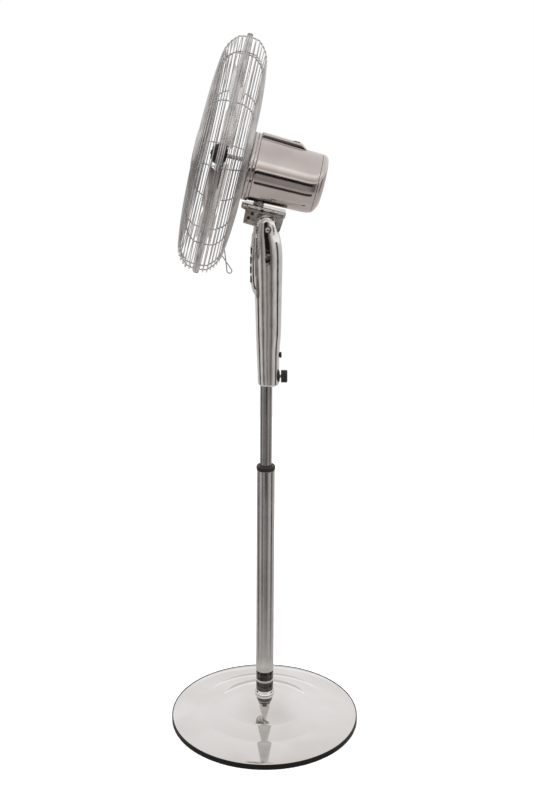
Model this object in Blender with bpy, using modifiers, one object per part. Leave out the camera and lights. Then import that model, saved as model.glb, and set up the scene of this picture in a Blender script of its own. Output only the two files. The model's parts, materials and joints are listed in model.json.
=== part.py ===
"""Pedestal fan: a weighted round base, a telescopic pole, a switch column, and a tilting, oscillating head.

Metres, +Z up. The origin is on the floor under the pole's centre, and the fan blows towards -Y. Every object
is one physical piece. The head's pieces are built in the frame of an empty on the oscillation axis, whose
local X is world X, local Y points up along that axis, and local Z points forward along the motor's shaft.
"""

from math import cos, hypot, radians, sin, tau

import bmesh
import bpy
from mathutils import Vector

# Clearances and sheet thicknesses
GAP = 0.0003
RUN = 0.0005
SHEET = 0.0012
SHELL = 0.0016

# Base and pole
BASE_R = 0.180
EDGE_H = 0.009
EDGE_W = 0.014
DOME_TOP_R = 0.018
DOME_TOP_Z = 0.0507
SOCKET_R = 0.0165
SOCKET_TOP = 0.099
OUTER_R = 0.017
OUTER_TOP = 0.504
TUBE_WALL = 0.0014
COLLAR_R = 0.0178
COLLAR_H = 0.0092
INNER_R = 0.0112
INNER_LOW = 0.290
INNER_INTO_COLUMN = 0.060
BUSH_H = 0.038
BOLT_R = 0.006

# Switch column
COLUMN_LOW = 0.670
COLUMN_TOP = 0.9655
COLUMN_WALL = 0.0024
PANEL_LOW = 0.838
PANEL_TOP = 0.957
PANEL_HALF_W = 0.0215
PANEL_BACK = -0.0205
KEY_COUNT = 4
KEY_W = 0.024
KEY_H = 0.0125
KEY_PITCH = 0.0175
KEY_TRAVEL = 0.0025
KNOB_Z = 0.686
KNOB_R = 0.0118
KNOB_NEAR = 0.0272
KNOB_FAR = 0.0390
GLAND_Z = 0.727
GLAND_R = 0.0055
GLAND_NECK_R = 0.0038
GLAND_BORE_R = 0.0026
SCREW_R = 0.003

# Tilt joint and neck
PIVOT_Y = 0.001
PIVOT_Z = 0.965
HEAD_TILT = radians(13)
CHEEK_TOP = 0.987
CHEEK_HALF_Y = 0.015
CHEEK_HALF_W = 0.0272
FORK_DEPTH = 0.0225
NECK_HALF_W = 0.0125
PIN_R = 0.004
PLATE_LOW = 0.0253
PLATE_TOP = 0.0364
PLATE_HALF_W = 0.024
PLATE_FRONT_R = 0.0300
PLATE_REAR = -0.0258
PLATE_SWING = 53
PLATE_CORNER = 0.008

# Head, measured from the oscillation axis at the height of the shaft
OSC_AHEAD = 0.0260
GUARD_AHEAD = 0.0834
RING_FRONT = 0.0347
RING_W = 0.0123
RING_R = 0.0625
RING_DROP = 0.008
HEAD_GAP = 0.0035
SHAFT_RISE = PLATE_TOP + HEAD_GAP + RING_R + RING_DROP
SEAM = -0.0926
RIDGE_H = 0.0076
RIDGE_HALF_W = 0.012
RIDGE_BACK = -0.0500
CLUTCH_Z = -0.0406
CLUTCH_R = 0.0075
BOSS_R = 0.011
BOSS_TOP = -0.0605
HOUSING_BACK = -0.1050
REAR_SCREW_R = 0.0020
REAR_SCREW_Y = -0.006
KNOB_STANDS = 0.0006
MOUNT_R = 0.012
POST_R = 0.006

# Motor and gears
SHAFT_R = 0.004
SHAFT_THIN_R = 0.0025
STATOR_R = 0.040
STATOR_BORE = 0.0225
STATOR_FRONT = 0.0089
STATOR_BACK = -0.0131
WORM_R = 0.005
WHEEL_TEETH = 20
WHEEL_X = 0.014
GEARS_Z = -0.0481
PINION_R = 0.0045
PINION_TEETH = 9
CRANK_TEETH = 41
CRANK_THROW = 0.009
TOOTH = 0.0010
MESH_GAP = 0.0004
ANCHOR_ARM = 0.014
ANCHOR_Y = -0.0583
GEARS_Y = -0.0485
LINK_PIN_R = 0.0018
THIN_GEAR = 0.0015
LINK_THICK = 0.0016

# Fan and guard
GUARD_R = 0.215
GUARD_DEPTH = 0.0500
GUARD_REAR_DEPTH = 0.0474
WIRE_R = 0.0012
RIM_WIRE_R = 0.0016
RIBS = 12
BLADES = 4
BLADE_R = 0.176
BLADE_ROOT = 0.040
BLADE_RISE = 0.0145
BLADE_FIRST = radians(45)
HUB_PLATE_R = 0.063
HUB_PLATE_Z = -0.004
SPINNER_R = 0.019
BADGE_R = 0.036
CLIP_W = 0.010
CLIP_HALF_D = 0.0050
CLIP_TOP_R = 0.2215
CLIP_HINGE_R = GUARD_R + 0.0022
CLIP_HINGE_Z = -0.0036

COLLECTION = bpy.data.collections.new("pedestal_fan")
CUTTERS = bpy.data.collections.new("cutters")


def clear_scene():
    """Removes the startup objects and links this model's collections."""
    for obj in list(bpy.data.objects):
        bpy.data.objects.remove(obj, do_unlink=True)
    bpy.context.scene.collection.children.link(COLLECTION)
    bpy.context.scene.collection.children.link(CUTTERS)


def finish(name, colour, roughness, metallic):
    """A plain Principled material."""
    made = bpy.data.materials.new(name)
    made.use_nodes = True
    shader = made.node_tree.nodes["Principled BSDF"]
    shader.inputs["Base Color"].default_value = (*colour, 1)
    shader.inputs["Roughness"].default_value = roughness
    shader.inputs["Metallic"].default_value = metallic
    return made


CHROME = finish("chrome", (0.80, 0.79, 0.77), 0.08, 1.0)
SATIN = finish("satin_steel", (0.62, 0.61, 0.59), 0.32, 1.0)
STEEL = finish("steel", (0.45, 0.45, 0.45), 0.35, 1.0)
BLACK = finish("black_plastic", (0.02, 0.02, 0.02), 0.40, 0.0)
KEYS = finish("key_plastic", (0.10, 0.10, 0.11), 0.35, 0.0)
IRON = finish("cast_iron", (0.10, 0.10, 0.10), 0.70, 1.0)
BLADE_METAL = finish("blade_metal", (0.72, 0.70, 0.68), 0.30, 1.0)
COPPER = finish("copper_wire", (0.60, 0.25, 0.10), 0.40, 1.0)
BRASS = finish("brass", (0.60, 0.45, 0.20), 0.35, 1.0)
NYLON = finish("nylon", (0.80, 0.78, 0.70), 0.50, 0.0)


def place(name, mesh, look, parent=None, at=(0, 0, 0), turn=(0, 0, 0)):
    """Adds a mesh or curve to the model as a named piece."""
    obj = bpy.data.objects.new(name, mesh)
    if look:
        mesh.materials.append(look)
    obj.parent = parent
    obj.location = at
    obj.rotation_euler = turn
    COLLECTION.objects.link(obj)
    return obj


def axis_empty(name, at, turn=(0, 0, 0), parent=None):
    """An empty on a joint's axis, which carries the pieces that move about it."""
    return place(name, None, None, parent, at, turn)


def smooth(mesh):
    """Smooth shading with sharp edges kept over 35 degrees."""
    mesh.shade_smooth()
    mesh.set_sharp_from_angle(angle=radians(35))


def turned(name, profile, look, parent=None, at=(0, 0, 0), turn=(0, 0, 0), steps=20, hollow=True):
    """A turned piece: (radius, height) points down the outer side, then up the bore if it is hollow."""
    mesh = bpy.data.meshes.new(name)
    ends = [(i, i + 1) for i in range(len(profile) - 1)]
    if hollow:
        ends.append((len(profile) - 1, 0))
    mesh.from_pydata([(r, 0, z) for r, z in profile], ends, [])
    obj = place(name, mesh, look, parent, at, turn)
    screw = obj.modifiers.new("turn", "SCREW")
    screw.steps = steps
    screw.render_steps = steps
    screw.use_merge_vertices = True
    screw.merge_threshold = 0.00005
    screw.use_smooth_shade = True
    return obj


def tube(r_out, r_in, low, high):
    """The profile of a plain sleeve."""
    return [(r_out, high), (r_out, low), (r_in, low), (r_in, high)]


def rod(radius, low, high):
    """The profile of a plain round bar."""
    return [(0, high), (radius, high), (radius, low), (0, low)]


def to_mesh(obj):
    """Replaces a curve with the welded mesh that it makes, so that a Boolean can read it."""
    bpy.context.view_layer.update()
    graph = bpy.context.evaluated_depsgraph_get()
    mesh = bpy.data.meshes.new_from_object(obj.evaluated_get(graph))
    form = bmesh.new()
    form.from_mesh(mesh)
    bmesh.ops.remove_doubles(form, verts=form.verts, dist=0.00001)
    form.to_mesh(mesh)
    form.free()
    name = obj.name
    parent, matrix = obj.parent, obj.matrix_local.copy()
    bpy.data.objects.remove(obj, do_unlink=True)
    made = place(name, mesh, None, parent)
    made.matrix_local = matrix
    return made


def plate(name, outlines, half, look, parent=None, at=(0, 0, 0), turn=(0, 0, 0)):
    """A flat piece: closed outlines in local XY, holes among them, extruded by half to each side."""
    curve = bpy.data.curves.new(name, "CURVE")
    curve.dimensions = "2D"
    curve.fill_mode = "BOTH"
    curve.extrude = half
    for outline in outlines:
        spline = curve.splines.new("POLY")
        spline.points.add(len(outline) - 1)
        for point, (x, y) in zip(spline.points, outline):
            point.co = (x, y, 0, 1)
        spline.use_cyclic_u = True
    return to_mesh(place(name, curve, look, parent, at, turn))


def arc(cx, cy, radius, start, end, count):
    """Points on an arc, angles in degrees."""
    angles = [radians(start + (end - start) * i / (count - 1)) for i in range(count)]
    return [(cx + radius * cos(a), cy + radius * sin(a)) for a in angles]


def circle(cx, cy, radius, count=16):
    """A closed circle's points."""
    return arc(cx, cy, radius, 0, 360 - 360 / count, count)


def box(name, low, high, look, parent=None, edge=0.0):
    """A block between two corners, its edges rounded by edge."""
    mesh = bpy.data.meshes.new(name)
    form = bmesh.new()
    bmesh.ops.create_cube(form, size=1)
    size = [b - a for a, b in zip(low, high)]
    centre = [(a + b) / 2 for a, b in zip(low, high)]
    bmesh.ops.scale(form, vec=size, verts=form.verts)
    form.to_mesh(mesh)
    form.free()
    obj = place(name, mesh, look, parent, centre)
    if edge:
        bevel = obj.modifiers.new("edges", "BEVEL")
        bevel.width = edge
        bevel.segments = 1
    return obj


def loft(name, rings, look, parent=None, at=(0, 0, 0), caps=(True, True)):
    """A skin through closed rings of equal point counts, listed from low to high, anticlockwise from above."""
    mesh = bpy.data.meshes.new(name)
    count = len(rings[0])
    faces = []
    for level in range(len(rings) - 1):
        for i in range(count):
            j = (i + 1) % count
            a, b = level * count, (level + 1) * count
            faces.append((a + i, a + j, b + j, b + i))
    if caps[0]:
        faces.append(tuple(reversed(range(count))))
    if caps[1]:
        top = (len(rings) - 1) * count
        faces.append(tuple(range(top, top + count)))
    mesh.from_pydata([point for ring in rings for point in ring], [], faces)
    smooth(mesh)
    return place(name, mesh, look, parent, at)


def cutter(obj):
    """Makes a piece a helper that the build leaves out."""
    COLLECTION.objects.unlink(obj)
    CUTTERS.objects.link(obj)
    obj.hide_render = True
    obj.display_type = "WIRE"
    return obj


def combine(target, helper, operation="DIFFERENCE"):
    """Cuts a helper from a piece, or joins or intersects it."""
    cut = target.modifiers.new(helper.name, "BOOLEAN")
    cut.operation = operation
    cut.object = helper
    cut.solver = "EXACT"
    return target


def round_tool(name, radius, low, high, parent=None, at=(0, 0, 0), turn=(0, 0, 0), steps=16):
    """A helper for a round hole along its local Z."""
    return cutter(turned(name, rod(radius, low, high), None, parent, at, turn, steps, hollow=False))


def box_tool(name, low, high, parent=None):
    """A helper for a block-shaped space."""
    return cutter(box(name, low, high, None, parent))


def cut_round(target, *tool, steps=16):
    """Cuts a round hole, given as round_tool takes it."""
    return combine(target, round_tool(*tool, steps=steps))


def cut_box(target, *tool):
    """Cuts a block-shaped space, given as box_tool takes it."""
    return combine(target, box_tool(*tool))


def cut_together(target, name, helpers):
    """Cuts several helpers in one step, so that no cut is rounded before the next."""
    group = bpy.data.collections.new(name)
    CUTTERS.children.link(group)
    for helper in helpers:
        group.objects.link(helper)
    cut = target.modifiers.new(name, "BOOLEAN")
    cut.operation = "DIFFERENCE"
    cut.operand_type = "COLLECTION"
    cut.collection = group
    cut.solver = "EXACT"
    return target


def between(x, table):
    """Straight-line value at x in a table of (x, value) rows in rising order."""
    for (x0, y0), (x1, y1) in zip(table, table[1:]):
        if x <= x1:
            return y0 + (y1 - y0) * (x - x0) / (x1 - x0)
    return table[-1][1]


# ---------------------------------------------------------------- base and pole


def dome_outline():
    """The cover's outer side from the crown down to the rim, with three soft concentric steps."""
    rim_r = BASE_R - 0.0010
    steps = [(0.044, 0.0472), (0.085, 0.0313), (0.125, 0.0215)]
    return [(DOME_TOP_R, DOME_TOP_Z)] + steps + [(rim_r - 0.004, EDGE_H + 0.0018), (rim_r, EDGE_H + GAP)]


def build_base():
    """The cover, its edge ring and weight, and the bolt that holds the pole socket."""
    outer = dome_outline()
    hole = BOLT_R + RUN
    inner = [(r - 0.0006, z - SHEET) for r, z in reversed(outer[:-1])]
    under = [(outer[-1][0] - SHEET, outer[-1][1])]
    cover = [(hole, DOME_TOP_Z)] + outer + under + inner + [(hole, DOME_TOP_Z - SHEET)]
    turned("base_cover", cover, CHROME, steps=36)

    ring_in = BASE_R - EDGE_W
    ring = [(BASE_R - 0.001, EDGE_H), (BASE_R, EDGE_H - 0.001), (BASE_R, 0), (ring_in, 0), (ring_in, EDGE_H)]
    turned("base_edge_ring", ring, BLACK, steps=36)

    step_r = 0.115
    weight_r = ring_in - 0.006
    low = 0.003
    high = EDGE_H + 0.0025
    weight = [(step_r, high + 0.006), (step_r, high), (weight_r, high - 0.001), (weight_r, low)]
    turned("base_weight", weight + [(0.030, low), (0.030, high + 0.006)], IRON, steps=20)

    seat = DOME_TOP_Z - SHEET - GAP
    flange = seat - 0.002
    head_low = flange - 0.008
    bolt = [(0, SOCKET_TOP - 0.010), (BOLT_R, SOCKET_TOP - 0.010), (BOLT_R, seat), (0.017, seat), (0.017, flange)]
    bolt += [(0.011, flange), (0.011, head_low), (0, head_low)]
    turned("base_bolt", bolt, STEEL, steps=12, hollow=False)


def build_pole(column):
    """The socket, the outer tube with its bush, the clamping collar, and the sliding inner tube."""
    bore = BOLT_R + GAP
    foot = DOME_TOP_Z + GAP
    spigot_r = OUTER_R - TUBE_WALL - GAP
    spigot_top = SOCKET_TOP + 0.036
    socket = [(spigot_r, spigot_top), (spigot_r, SOCKET_TOP - GAP), (SOCKET_R, SOCKET_TOP - GAP)]
    socket += [(SOCKET_R, foot + 0.009), (SOCKET_R + 0.002, foot + 0.005), (SOCKET_R + 0.002, foot)]
    turned("pole_socket", socket + [(bore, foot), (bore, spigot_top)], CHROME)
    turned("outer_tube", tube(OUTER_R, OUTER_R - TUBE_WALL, SOCKET_TOP, OUTER_TOP), SATIN)
    bush_r = OUTER_R - TUBE_WALL - GAP
    bush_top = OUTER_TOP + GAP
    bush = tube(bush_r, INNER_R + GAP, OUTER_TOP - BUSH_H, bush_top)
    turned("tube_bush", bush, NYLON)

    low = bush_top + GAP
    high = low + COLLAR_H
    bore = INNER_R + RUN
    edge = 0.0018
    collar = [(COLLAR_R - edge, high), (COLLAR_R, high - edge), (COLLAR_R, low + edge / 2)]
    collar += [(COLLAR_R - edge / 2, low), (bore, low), (bore, high)]
    turned("height_collar", collar, BLACK)
    high = COLUMN_LOW + INNER_INTO_COLUMN
    turned("inner_tube", tube(INNER_R, INNER_R - TUBE_WALL, INNER_LOW, high), SATIN, column)


# ---------------------------------------------------------------- switch column

COLUMN_FRONT = ((0.670, -0.0154), (0.736, -0.0181), (0.765, -0.0193), (0.831, -0.0215), (0.9655, -0.0262))
COLUMN_REAR = ((0.670, 0.0233), (0.736, 0.0243), (0.765, 0.0263), (0.831, 0.0274), (0.891, 0.0282),
               (0.919, 0.0279), (0.952, 0.0249), (0.9655, 0.0215))
COLUMN_HALF_W = ((0.670, 0.0195), (0.765, 0.0220), (0.831, 0.0245), (0.900, 0.0275), (0.9655, 0.0265))
PANEL_FRONT = ((0.838, -0.0215), (0.854, -0.0279), (0.866, -0.0299), (0.891, -0.0307), (0.919, -0.0301),
               (0.957, -0.0275))


def oval(z, front, rear, half_w, inset=0.0, power=2.6, count=28):
    """A rounded-square ring at height z."""
    mid = (front + rear) / 2
    half_y = (rear - front) / 2 - inset
    ring = []
    for i in range(count):
        angle = tau * i / count
        c, s = cos(angle), sin(angle)
        x = abs(c) ** (2 / power) * (1 if c >= 0 else -1)
        y = abs(s) ** (2 / power) * (1 if s >= 0 else -1)
        ring.append((x * (half_w - inset), mid + y * half_y, z))
    return ring


def column_ring(z, inset=0.0):
    """The column's outline at height z."""
    return oval(z, between(z, COLUMN_FRONT), between(z, COLUMN_REAR), between(z, COLUMN_HALF_W), inset)


def panel_ring(z):
    """The outline that the swollen control panel belongs to."""
    return oval(z, between(z, PANEL_FRONT), between(z, COLUMN_REAR), between(z, COLUMN_HALF_W))


def key_rows():
    """Each key's name and height, from the top down."""
    middle = (PANEL_LOW + PANEL_TOP) / 2
    names = ("key_high", "key_medium", "key_low", "key_off")
    return [(name, middle + KEY_PITCH * ((KEY_COUNT - 1) / 2 - i)) for i, name in enumerate(names)]


def build_column(column):
    """The hollow switch housing with its fork, and what it holds."""
    levels = (COLUMN_LOW, 0.700, 0.736, 0.765, 0.831, 0.891, 0.919, 0.952, COLUMN_TOP)
    body = loft("column_body", [column_ring(z) for z in levels], CHROME, column)

    arch_z = CHEEK_TOP - CHEEK_HALF_Y
    foot = COLUMN_TOP - 0.010
    cheek = [(-CHEEK_HALF_Y, foot), (CHEEK_HALF_Y, foot)] + arc(0, arch_z, CHEEK_HALF_Y, 0, 180, 9)
    across = (radians(90), 0, radians(90))
    cheeks = plate("cheeks", [cheek], CHEEK_HALF_W, None, column, (0, 0, 0), across)
    combine(body, cutter(cheeks), "UNION")

    hollow = (0.742, 0.765, 0.831, 0.891, 0.919, 0.9345)
    front = -0.05
    pane = PANEL_BACK + GAP
    slot = NECK_HALF_W + RUN
    floor = PIVOT_Z - FORK_DEPTH
    sideways = (0, radians(90), 0)
    back = (radians(-90), 0, 0)
    seat_low = between(KNOB_Z, COLUMN_REAR) - 0.0032
    tools = [
        cutter(loft("hollow", [column_ring(z, COLUMN_WALL) for z in hollow], None, column)),
        box_tool("panel_seat", (-PANEL_HALF_W - GAP, front, PANEL_LOW - GAP),
                 (PANEL_HALF_W + GAP, pane, PANEL_TOP + GAP), column),
        box_tool("panel_opening", (-PANEL_HALF_W + 0.002, front, PANEL_LOW + 0.006),
                 (PANEL_HALF_W - 0.002, 0, PANEL_TOP - 0.030), column),
        box_tool("fork_slot", (-slot, -0.06, floor), (slot, 0.06, 1.0), column),
        round_tool("tube_bore", INNER_R + GAP, COLUMN_LOW - 0.01, COLUMN_LOW + 0.08, column, steps=24),
        round_tool("tilt_bore", PIN_R + GAP, -0.04, 0.04, column, (0, PIVOT_Y, PIVOT_Z), sideways),
        round_tool("seat_recess", KNOB_R + GAP, seat_low, 0.04, column, (0, 0, KNOB_Z), back, 24),
        round_tool("clamp_hole", SCREW_R + GAP, 0.005, 0.04, column, (0, 0, KNOB_Z), back, 12),
        round_tool("gland_hole", GLAND_NECK_R + GAP, 0.005, 0.04, column, (0, 0, GLAND_Z), back, 12),
    ]
    cut_together(body, "column_spaces", tools)

    low_far = seat_low + GAP
    seat = [(KNOB_R - 0.002, low_far + 0.0040), (KNOB_R, low_far + 0.0026), (KNOB_R, low_far)]
    seat += [(SCREW_R + RUN, low_far), (SCREW_R + RUN, low_far + 0.0040)]
    turned("knob_seat", seat, BLACK, column, (0, 0, KNOB_Z), back)
    rear = between(GLAND_Z, COLUMN_REAR) + GAP
    gland = [(GLAND_R - 0.0012, rear + 0.0038), (GLAND_R, rear + 0.0026), (GLAND_R, rear), (GLAND_NECK_R, rear)]
    inside = INNER_R + 2 * GAP
    gland += [(GLAND_NECK_R, inside), (GLAND_BORE_R, inside), (GLAND_BORE_R, rear + 0.0038)]
    turned("cord_gland", gland, BLACK, column, (0, 0, GLAND_Z), back, 16)


def build_clamp(column):
    """The rear clamp knob and its screw, which press on the inner tube."""
    clamp = axis_empty("clamp_axis", (0, 0, KNOB_Z), (radians(-90), 0, 0), column)
    lobes = 12
    outline = []
    for i in range(lobes * 2):
        radius = KNOB_R if i % 2 == 0 else KNOB_R - 0.0010
        outline.append((radius * cos(tau * i / lobes / 2), radius * sin(tau * i / lobes / 2)))
    half = (KNOB_FAR - KNOB_NEAR) / 2
    knob = plate("clamp_knob", [outline], half, BLACK, clamp, (0, 0, (KNOB_NEAR + KNOB_FAR) / 2))
    screw = turned("clamp_screw", rod(SCREW_R, INNER_R + GAP, KNOB_NEAR + half), None, clamp, steps=12,
                   hollow=False)
    combine(knob, cutter(screw), "UNION")


def build_controls(column):
    """The swollen chrome panel, its four push keys and the switch block behind them."""
    levels = (PANEL_LOW, 0.846, 0.854, 0.866, 0.891, 0.919, PANEL_TOP)
    panel = loft("control_panel", [panel_ring(z) for z in levels], CHROME, column)
    keep = cutter(box("panel_half", (-PANEL_HALF_W, -0.06, PANEL_LOW), (PANEL_HALF_W, PANEL_BACK, PANEL_TOP),
                      None, column))
    combine(panel, keep, "INTERSECT")
    half_w, half_h = KEY_W / 2, KEY_H / 2
    block_front = PANEL_BACK + 0.010
    for name, z in key_rows():
        space = half_w + GAP
        cut_box(panel, name + "_window", (-space, -0.06, z - half_h - GAP), (space, 0, z + half_h + GAP), column)
        face = between(z, PANEL_FRONT) - GAP
        slide = axis_empty(name + "_axis", (0, face, z), parent=column)
        back = block_front - KEY_TRAVEL - RUN - face
        box(name, (-half_w, 0, -half_h), (half_w, back, half_h), KEYS, slide, 0.0010)
    reach = KEY_PITCH * (KEY_COUNT - 1) / 2 + half_h
    middle = (PANEL_LOW + PANEL_TOP) / 2
    box("switch_block", (-half_w - 0.003, block_front, middle - reach),
        (half_w + 0.003, 0.012, middle + reach), BLACK, column)


# ---------------------------------------------------------------- neck


def build_neck(neck):
    """The tongue between the column's cheeks and the plate that carries the head's pivot post."""
    tongue = [(0.0471, 0.0248), (-0.0243, 0.0248), (-0.0232, 0.0060), (-0.0226, -0.0029)]
    tongue += arc(0, 0, 0.0185, 195, 340, 9) + [(0.0272, -0.0012), (0.0457, 0.0)]
    across = (0, radians(-90), 0)
    body = plate("neck_bracket", [tongue], NECK_HALF_W, CHROME, neck, (0, 0, 0), across)
    cut_round(body, "neck_bore", PIN_R + GAP, -0.03, 0.03, neck, (0, 0, 0), (0, radians(90), 0))

    flat = (radians(-90), 0, 0)
    front = arc(0, OSC_AHEAD, PLATE_FRONT_R, 90 - PLATE_SWING, 90 + PLATE_SWING, 13)
    outline = [(-x, -y) for x, y in front]
    rear = -PLATE_REAR
    outline += [(PLATE_HALF_W, rear - PLATE_CORNER), (PLATE_HALF_W - PLATE_CORNER, rear)]
    outline += [(-PLATE_HALF_W + PLATE_CORNER, rear), (-PLATE_HALF_W, rear - PLATE_CORNER)]
    middle = (PLATE_LOW + PLATE_TOP) / 2
    top = plate("neck_plate", [outline], (PLATE_TOP - PLATE_LOW) / 2, CHROME, neck, (0, middle, 0), flat)
    cut_round(top, "post_bore", POST_R + GAP, -0.05, 0.05, neck, (0, middle, OSC_AHEAD), flat)
    arm_y = SHAFT_RISE + ANCHOR_Y
    post = turned("pivot_post", rod(POST_R, PLATE_LOW + RUN, arm_y), STEEL, neck, (0, 0, OSC_AHEAD), flat, 16,
                  hollow=False)
    arm = [(-0.009, -0.007), (0.0, -0.009), (ANCHOR_ARM, -0.004), (ANCHOR_ARM + 0.004, 0.0)]
    arm += [(ANCHOR_ARM, 0.004), (0.0, 0.009), (-0.009, 0.007)]
    made = plate("anchor_arm", [arm], 0.0013, None, neck, (0, arm_y, OSC_AHEAD), flat)
    combine(post, cutter(made), "UNION")
    pin = turned("anchor_pin", rod(LINK_PIN_R, arm_y - 0.0008, arm_y + 0.0028), None, neck,
                 (ANCHOR_ARM, 0, OSC_AHEAD), flat, 10, hollow=False)
    combine(post, cutter(pin), "UNION")


def build_tilt_bolt(column):
    """The bolt, washer and nut through the column's cheeks."""
    at = (0, PIVOT_Y, PIVOT_Z)
    side = CHEEK_HALF_W + GAP
    sideways = (0, radians(90), 0)
    bolt = [(0, side + 0.003), (0.0055, side + 0.003), (0.0068, side + 0.0015), (0.0068, side)]
    bolt += [(PIN_R, side), (PIN_R, -side - 0.006), (0, -side - 0.006)]
    turned("tilt_bolt", bolt, STEEL, column, at, sideways, 16, hollow=False)
    thick = 0.005
    plate("tilt_nut", [circle(0, 0, 0.0068, 6), circle(0, 0, PIN_R + GAP, 12)], thick / 2, STEEL, column,
          (-side - thick / 2, PIVOT_Y, PIVOT_Z), sideways)


# ---------------------------------------------------------------- head

HOUSING_TOP = ((HOUSING_BACK, 0.0300), (-0.1026, 0.0370), (-0.0986, 0.0410), (SEAM, 0.0424), (0.0224, 0.0490))
HOUSING_BOTTOM = ((HOUSING_BACK, -0.0420), (-0.1026, -0.0520), (-0.0986, -0.0600), (SEAM, -0.0655),
                  (-0.0826, -0.0677), (0.0224, -0.0690))


def housing_ring(z, count=32):
    """The motor housing's round outline at z, held by its top and bottom lines."""
    top, bottom = between(z, HOUSING_TOP), between(z, HOUSING_BOTTOM)
    radius, mid = (top - bottom) / 2, (top + bottom) / 2
    return [(radius * cos(tau * i / count), mid + radius * sin(tau * i / count), z) for i in range(count)]


def thicken(obj, amount):
    """Gives an open skin its thickness, inwards."""
    solid = obj.modifiers.new("wall", "SOLIDIFY")
    solid.thickness = amount
    solid.offset = -1
    return obj


def build_housing(head):
    """The front ring, the two housing shells, the ridge with the clutch knob, and the rear screw."""
    back = RING_FRONT - RING_W
    edge = 0.002
    web = RING_FRONT - 0.004
    ring = [(0, RING_FRONT), (RING_R - edge, RING_FRONT), (RING_R, RING_FRONT - edge), (RING_R, back + edge / 2)]
    ring += [(RING_R - edge / 2, back), (RING_R - 0.006, back), (RING_R - 0.006, web), (0, web)]
    made = turned("front_ring", ring, CHROME, head, (0, -RING_DROP, 0), steps=32, hollow=False)
    boss = turned("mount_boss", rod(MOUNT_R, web + 0.001, RING_FRONT + 0.0088), None, head, hollow=False)
    combine(made, cutter(boss), "UNION")
    cut_round(made, "mount_bore", MOUNT_R - 0.0022, 0.0, 0.06, head, steps=20)

    levels = (SEAM, -0.0826, -0.0300, back - GAP)
    shell = loft("motor_housing", [housing_ring(z) for z in levels], SATIN, head, caps=(False, False))
    thicken(shell, SHELL)
    top = HOUSING_TOP[-1][1]
    front = back - GAP - 0.0001
    low_top = between(RIDGE_BACK, HOUSING_TOP)
    sink = 0.0022
    ridge = [(front, top - sink), (front, top + RIDGE_H - 0.002), (front - 0.003, top + RIDGE_H)]
    ridge += [(RIDGE_BACK, low_top + RIDGE_H), (RIDGE_BACK - 0.012, low_top - sink)]
    side_view = [(-z, y) for z, y in ridge]
    hump = plate("ridge", [side_view], RIDGE_HALF_W, None, head, (0, 0, 0), (0, radians(90), 0))
    combine(shell, cutter(hump), "UNION")
    upright = (radians(-90), 0, 0)
    well_floor = low_top - 0.012
    cut_round(shell, "clutch_well", CLUTCH_R + RUN, well_floor, 0.08, head, (0, 0, CLUTCH_Z), upright)
    cut_round(shell, "boss_hole", BOSS_R + GAP, -0.08, -0.05, head, (0, 0, 0), upright, steps=20)

    rings = [housing_ring(z) for z in (HOUSING_BACK, -0.1026, -0.0986)]
    for z in (SEAM - 0.0020, SEAM - GAP):
        rings.append([(x, y, z) for x, y, _ in housing_ring(SEAM)])
    cover = loft("rear_cover", rings, SATIN, head, caps=(True, False))
    thicken(cover, SHELL)
    post_at = (0, REAR_SCREW_Y, 0)
    post = turned("rear_post", rod(0.0075, HOUSING_BACK + 0.001, -0.0900), None, head, post_at, steps=12,
                  hollow=False)
    combine(cover, cutter(post), "UNION")
    cut_round(cover, "rear_screw_hole", REAR_SCREW_R + GAP, -0.12, -0.08, head, post_at, steps=12)
    under_head = HOUSING_BACK - GAP
    face = under_head - 0.0013
    screw = [(0, -0.0800), (REAR_SCREW_R, -0.0800), (REAR_SCREW_R, under_head)]
    screw += [(REAR_SCREW_R + 0.0015, under_head), (REAR_SCREW_R + 0.0006, face), (0, face)]
    turned("rear_screw", screw, STEEL, head, post_at, steps=12, hollow=False)

    clutch = axis_empty("clutch_axis", (0, 0, CLUTCH_Z), upright, head)
    rest_top = low_top + RIDGE_H + KNOB_STANDS
    rod_low = 0.0165
    knob = [(0, rest_top), (CLUTCH_R - 0.0012, rest_top), (CLUTCH_R, rest_top - 0.0012)]
    knob += [(CLUTCH_R, rest_top - 0.010), (0.0016, rest_top - 0.010), (0.0016, rod_low), (0, rod_low)]
    turned("oscillation_knob", knob, BLACK, clutch, steps=16, hollow=False)


def build_pivot(head):
    """The head's pivot boss, which turns on the neck's post."""
    upright = (radians(-90), 0, 0)
    low = PLATE_TOP - SHAFT_RISE + RUN
    boss = tube(BOSS_R, POST_R + RUN, low, BOSS_TOP)
    turned("pivot_boss", boss, BLACK, head, (0, 0, 0), upright, 20)


def gear_outline(teeth, outer, depth):
    """A plain gear's outline: three points a tooth."""
    points = []
    for tooth in range(teeth):
        for share, radius in ((0.0, outer - depth), (0.35, outer), (0.65, outer)):
            angle = tau * (tooth + share) / teeth
            points.append((radius * cos(angle), radius * sin(angle)))
    return points


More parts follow.
